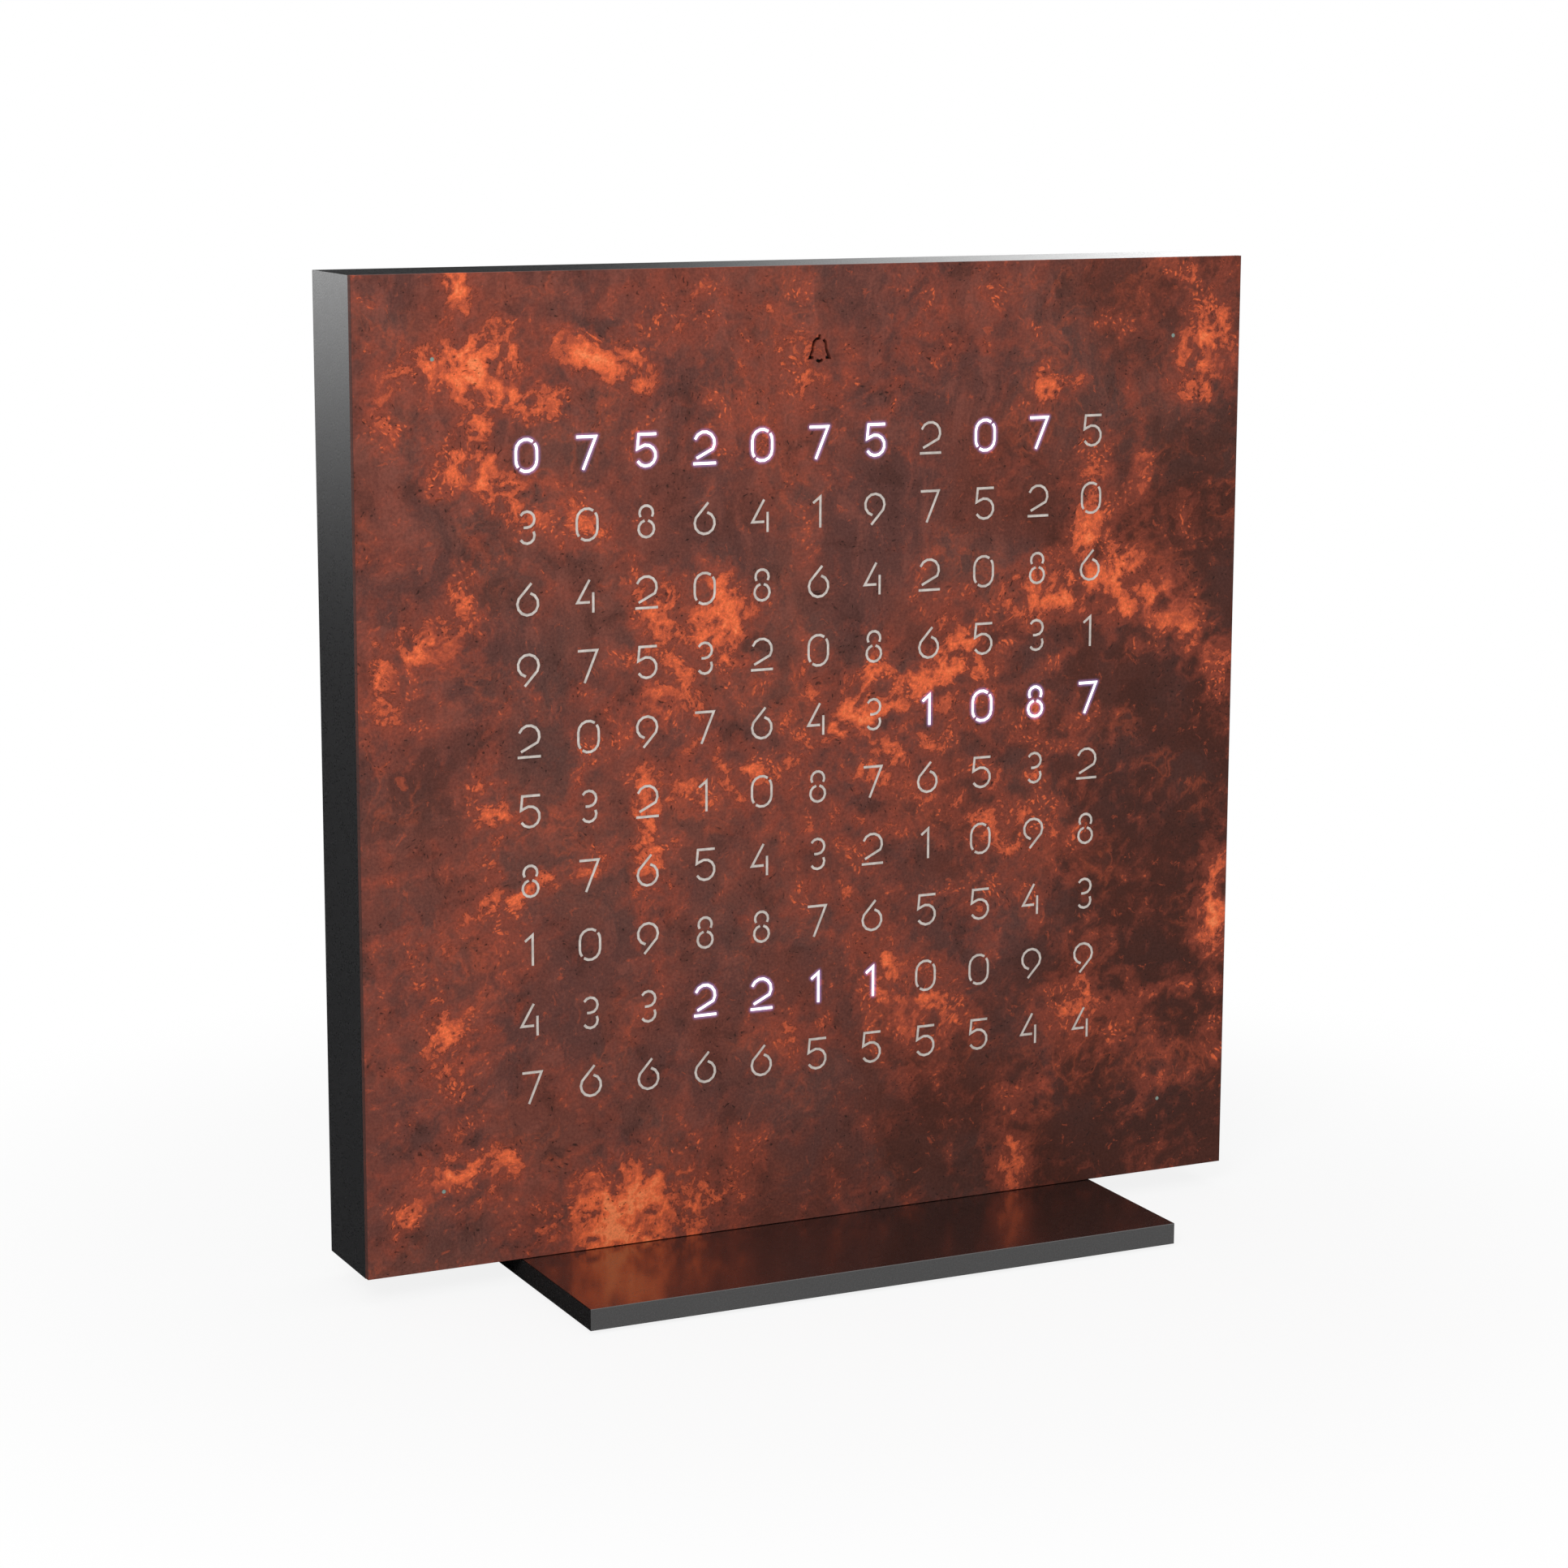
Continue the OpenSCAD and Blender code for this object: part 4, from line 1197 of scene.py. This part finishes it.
@dataclass
class Electronics:
    """What is soldered to the back of the board."""

    chip: Plastic = Plastic("chip_plastic", linear(34, 34, 35), 0.55, 4.0)
    can: Metal = Metal("can_steel", linear(200, 200, 198), Tooling.BRUSHED, 0.26)
    black: Plastic = Plastic("inlet_black", linear(24, 24, 25), 0.42)
    clear: ClearPlastic = ClearPlastic()
    capacitor: Capacitor = Capacitor()

    def dress(self) -> None:
        """Finish the electronics' nodes."""
        dress_nodes(self.chip, "microcontroller", "driver_chips", "alarm_sounder", "light_sensor",
                    "push_switches")
        dress_nodes(self.can, "clock_crystal", "backup_cell", "cell_strap", "inlet_shell")
        dress_nodes(self.black, "cell_holder", "inlet_tongue")
        dress_nodes(self.capacitor, "capacitors")
        dress_nodes(self.clear, "sensor_window")


@dataclass
class RearControls:
    """The three buttons and the power inlet's contacts."""

    buttons: int = 3
    edge: float = 0.35 * MM
    edge_steps: int = 5
    dish: float = 0.25 * MM
    dish_steps: tuple[float, ...] = (0.92, 0.8, 0.65, 0.5, 0.35, 0.2, 0.1)
    flange_reach: float = 1.0 * MM
    flange_edge: float = 0.1 * MM
    flange_gap: float = 0.2 * MM
    contacts: int = 12
    contact_width: float = 0.25 * MM
    contact_length: float = 2.4 * MM
    contact_thickness: float = 0.06 * MM
    contact_span: float = 5.5 * MM
    contact_inset: float = 0.3 * MM
    tongue_thickness: float = 0.7 * MM
    cap: Plastic = Plastic("button_plastic", linear(40, 40, 42), 0.48, 5.0, 0.015)
    plunger: Plastic = Plastic("plunger_plastic", linear(196, 188, 168), 0.4)
    gold: Metal = Metal("contact_gold", linear(224, 186, 104), Tooling.PLATED, 0.22)

    def dress(self) -> None:
        """Finish the plungers and make the buttons and contacts."""
        numbers = range(1, self.buttons + 1)
        dress_nodes(self.plunger, *(f"switch_plunger_{number}" for number in numbers))
        cap = self.cap.build()
        for number in numbers:
            self.button(number, cap)
        self.tongue_contacts()

    def button(self, number: int, material: bpy.types.Material) -> bpy.types.Object:
        """Make a button with a softened edge and a shallow dish for the fingertip.

        Args:
            number: Which button, from 1.
            material: Its finish.

        Returns:
            The button, which stands for its node.
        """
        node = f"button_{number}"
        low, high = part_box(node)
        flange_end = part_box("rear_cover")[0].y - self.flange_gap
        flange = (high.x - low.x) / 2
        bevel = self.flange_edge
        cap = flange - self.flange_reach
        face = cap - self.edge
        turns = (math.pi / 2 * step / self.edge_steps for step in range(self.edge_steps + 1))
        rim = [(face + self.edge * math.cos(turn), high.y - self.edge * (1 - math.sin(turn)))
               for turn in turns]
        dish = [(r, high.y - self.dish * (1 - (r / face) ** 2))
                for r in (face * share for share in self.dish_steps)]
        profile = [(0.0, low.y), (flange - bevel, low.y), (flange, low.y + bevel),
                   (flange, flange_end - bevel), (flange - bevel, flange_end),
                   (cap, flange_end), *rim, *dish, (0.0, high.y - self.dish)]
        piece = turned_piece(f"button_cap_{number}", profile, (low + high) / 2)
        place_piece(piece, node, material)
        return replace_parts(piece, node)

    def tongue_contacts(self) -> bpy.types.Object:
        """Lay the gilt contacts along both faces of the inlet's tongue.

        Returns:
            The contacts as one piece.
        """
        low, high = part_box("inlet_tongue")
        length = self.contact_length
        centre = (low + high) / 2
        centre.y = high.y - length / 2 - self.contact_inset
        repeat = Repeat("tongue_contacts", {"Width": self.contact_span, "Height": self.tongue_thickness,
                                            "Columns": self.contacts, "Rows": 2})
        size = (self.contact_width, length, self.contact_thickness)
        bar = repeat.add("GeometryNodeMeshCube", {"Size": size})
        material = self.gold.build()
        piece = repeat.bake(bar, repeat.grid(centre), material)
        return place_piece(piece, "inlet_tongue", material)


@dataclass
class Foot:
    """The foot plate and its rubber pads."""

    coat: PowderCoat = PowderCoat("satin_foot_coat", linear(34, 33, 33), 0.24, 4.0, 0.008, 0.8)
    rubber: Plastic = Plastic("pad_rubber", linear(22, 22, 22), 0.85, 3.5, 0.03)
    lacquer_depth: float = 0.1

    def dress(self) -> None:
        """Finish the foot's nodes, with lacquer and a painted reflection of the rusty front on the foot
        plate's top.
        """
        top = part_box("foot_plate")[1].z / MM
        dress_nodes(replace(self.coat, lacquer_and_reflection_above=top - self.lacquer_depth), "foot_plate")
        dress_nodes(self.rubber, "foot_pads")


# ---------------------------------------------------------------- studio
@dataclass(frozen=True)
class Lamp:
    """A soft square lamp, in metres and watts."""

    name: str
    place: Place
    size: float
    power: float

    def hang(self, aim: Vector) -> bpy.types.Object:
        """Hang the lamp.

        Args:
            aim: The point that it faces.

        Returns:
            The lamp.
        """
        data = bpy.data.lights.new(self.name, "AREA")
        data.size = self.size
        data.energy = self.power
        lamp = add_object(self.name, data)
        lamp.location = self.place
        lamp.rotation_mode = "QUATERNION"
        lamp.rotation_quaternion = (aim - Vector(self.place)).to_track_quat("-Z", "Y")
        return lamp


@dataclass(frozen=True)
class Card:
    """An upright card behind the clock, in metres, which only reflections find.

    Its glow grows along one axis, from nothing at a start, over a reach in millimetres, by a curve.
    """

    name: str
    left: float
    right: float
    top: float
    axis: str
    start: float
    reach: float
    curve: float
    power: float
    brightest: float = 2.0

    def stand(self, y: float) -> bpy.types.Object:
        """Stand the card.

        Args:
            y: Its place behind the clock.

        Returns:
            The card.
        """
        shader = Shader(self.name)
        place = shader.axis(shader.place(), self.axis)
        grown = (((place - self.start) / self.reach).most(0.0) ** self.curve).least(self.brightest)
        corners = ((self.left, y, 0.0), (self.right, y, 0.0),
                   (self.right, y, self.top), (self.left, y, self.top))
        return reflected(self.name, corners, shader, grown * self.power)


def reflected(name: str, corners: Iterable[Place], shader: Shader, glow: Signal | float) -> bpy.types.Object:
    """Make a glowing sheet that only reflections find.

    Args:
        name: The sheet's name.
        corners: Its four corners in turn.
        shader: The tree that its glow belongs to.
        glow: How bright it is.

    Returns:
        The sheet.
    """
    shader.end(shader.add("ShaderNodeEmission", None, {"Color": WHITE, "Strength": glow}))
    card = sheet(name, corners, shader.owner)
    card.visible_camera = False
    card.visible_diffuse = False
    card.visible_shadow = False
    card.visible_transmission = False
    return card


@dataclass
class Studio:
    """Camera, lamps, cards, world and floor, in metres and degrees."""

    eye: Place = (-0.23292, -0.47948, 0.16541)
    heading: float = 25.751
    pitch: float = 10.64
    roll: float = 0.153
    lens: float = 87.99
    sensor: float = 36.0
    near: float = 0.01
    far: float = 20.0
    fill: float = 0.42
    floor_half: float = 6.0
    floor_colour: Colour = (0.8, 0.8, 0.8)
    floor_white: float = 0.86
    shadow_reach: tuple[float, float] = (0.08, 0.17)
    aim: Place = (0.0, 0.0, 0.07)
    lamps: tuple[Lamp, ...] = (
        Lamp("key", (-0.42, -0.5, 0.5), 0.35, 3.0),
        Lamp("top", (0.1, 0.1, 0.9), 0.8, 2.4),
    )
    card_y: float = 0.2
    cards: tuple[Card, ...] = (
        Card("side_card", -0.5, -0.08, 0.5, "Z", 50.0, 76.0, 2.4, 1.62),
        Card("top_card", -0.08, 0.4, 0.4, "X", 45.0, 95.0, 1.7, 1.41),
    )
    ground_card: tuple[float, float, float, float] = (-0.5, -0.045, -0.1, 0.0005)

    def camera(self) -> bpy.types.Object:
        """Set the camera at the photograph's viewing angle.

        Returns:
            The camera.
        """
        data = bpy.data.cameras.new("camera")
        data.sensor_width = self.sensor
        data.lens = self.lens
        data.clip_start = self.near
        data.clip_end = self.far
        camera = add_object("camera", data)
        turn = Matrix.Rotation(math.radians(-self.heading), 4, "Z")
        tilt = Matrix.Rotation(math.radians(90 - self.pitch), 4, "X")
        lean = Matrix.Rotation(math.radians(self.roll), 4, "Z")
        camera.matrix_world = Matrix.Translation(self.eye) @ turn @ tilt @ lean
        bpy.context.scene.camera = camera
        return camera

    @staticmethod
    def _seen(shader: Shader) -> Signal:
        """Give 1 to rays from the camera, from a reflection or through glass.

        Args:
            shader: The tree to build in.

        Returns:
            The mask.
        """
        rays = (shader.add("ShaderNodeLightPath", output=name)
                for name in ("Is Camera Ray", "Is Glossy Ray", "Is Transmission Ray"))
        first, second, third = rays
        return first.most(second).most(third)

    def world(self) -> None:
        """Make the world white where it is seen and a soft grey fill elsewhere."""
        world = bpy.data.worlds.new("studio")
        bpy.context.scene.world = world
        shader = Shader(world)
        strength = self._seen(shader) * (1.0 - self.fill) + self.fill
        shader.end(shader.add("ShaderNodeBackground", None, {"Color": WHITE, "Strength": strength}))

    def floor(self) -> bpy.types.Object:
        """Lay the pale floor, which keeps the object's shadow and turns white further out.

        Returns:
            The floor.
        """
        shader = Shader("pale_floor")
        here = shader.add("ShaderNodeTexCoord", output="Object")
        away = shader.vector("LENGTH", here, {}).rise(*self.shadow_reach)
        white = self._seen(shader) * (away * (1.0 - self.floor_white) + self.floor_white)
        matt = shader.add("ShaderNodeBsdfDiffuse", None, {"Color": self.floor_colour})
        glow = shader.add("ShaderNodeEmission", None, {"Color": WHITE, "Strength": 1.0})
        shader.end(shader.add("ShaderNodeMixShader", None, {0: white, 1: matt, 2: glow}))
        half = self.floor_half
        corners = ((-half, -half, 0.0), (half, -half, 0.0), (half, half, 0.0), (-half, half, 0.0))
        floor = sheet("floor", corners, shader.owner)
        return floor

    def stand_cards(self) -> None:
        """Stand the cards that shade the reflections in the left side, the top and the foot's edge."""
        left, right, front, rise = self.ground_card
        back = self.card_y
        ground = ((left, front, rise), (right, front, rise), (right, back, rise), (left, back, rise))
        reflected("ground_card", ground, Shader("dark_card"), 0.0)
        for card in self.cards:
            card.stand(back)

    def build(self) -> None:
        """Set up the whole studio."""
        bpy.context.scene.view_settings.view_transform = "Standard"
        self.camera()
        self.world()
        self.floor()
        for lamp in self.lamps:
            lamp.hang(Vector(self.aim))
        self.stand_cards()


def main() -> None:
    """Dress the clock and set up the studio."""
    logging.basicConfig(level=logging.INFO, format="%(name)s: %(message)s")
    for part in (FrontCover(), Housing(), LightBox(), Electronics(), RearControls(), Foot()):
        part.dress()
        log.info("dressed %s", type(part).__name__)
    Studio().build()
    bpy.context.view_layer.update()


if __name__ == "__main__":
    main()
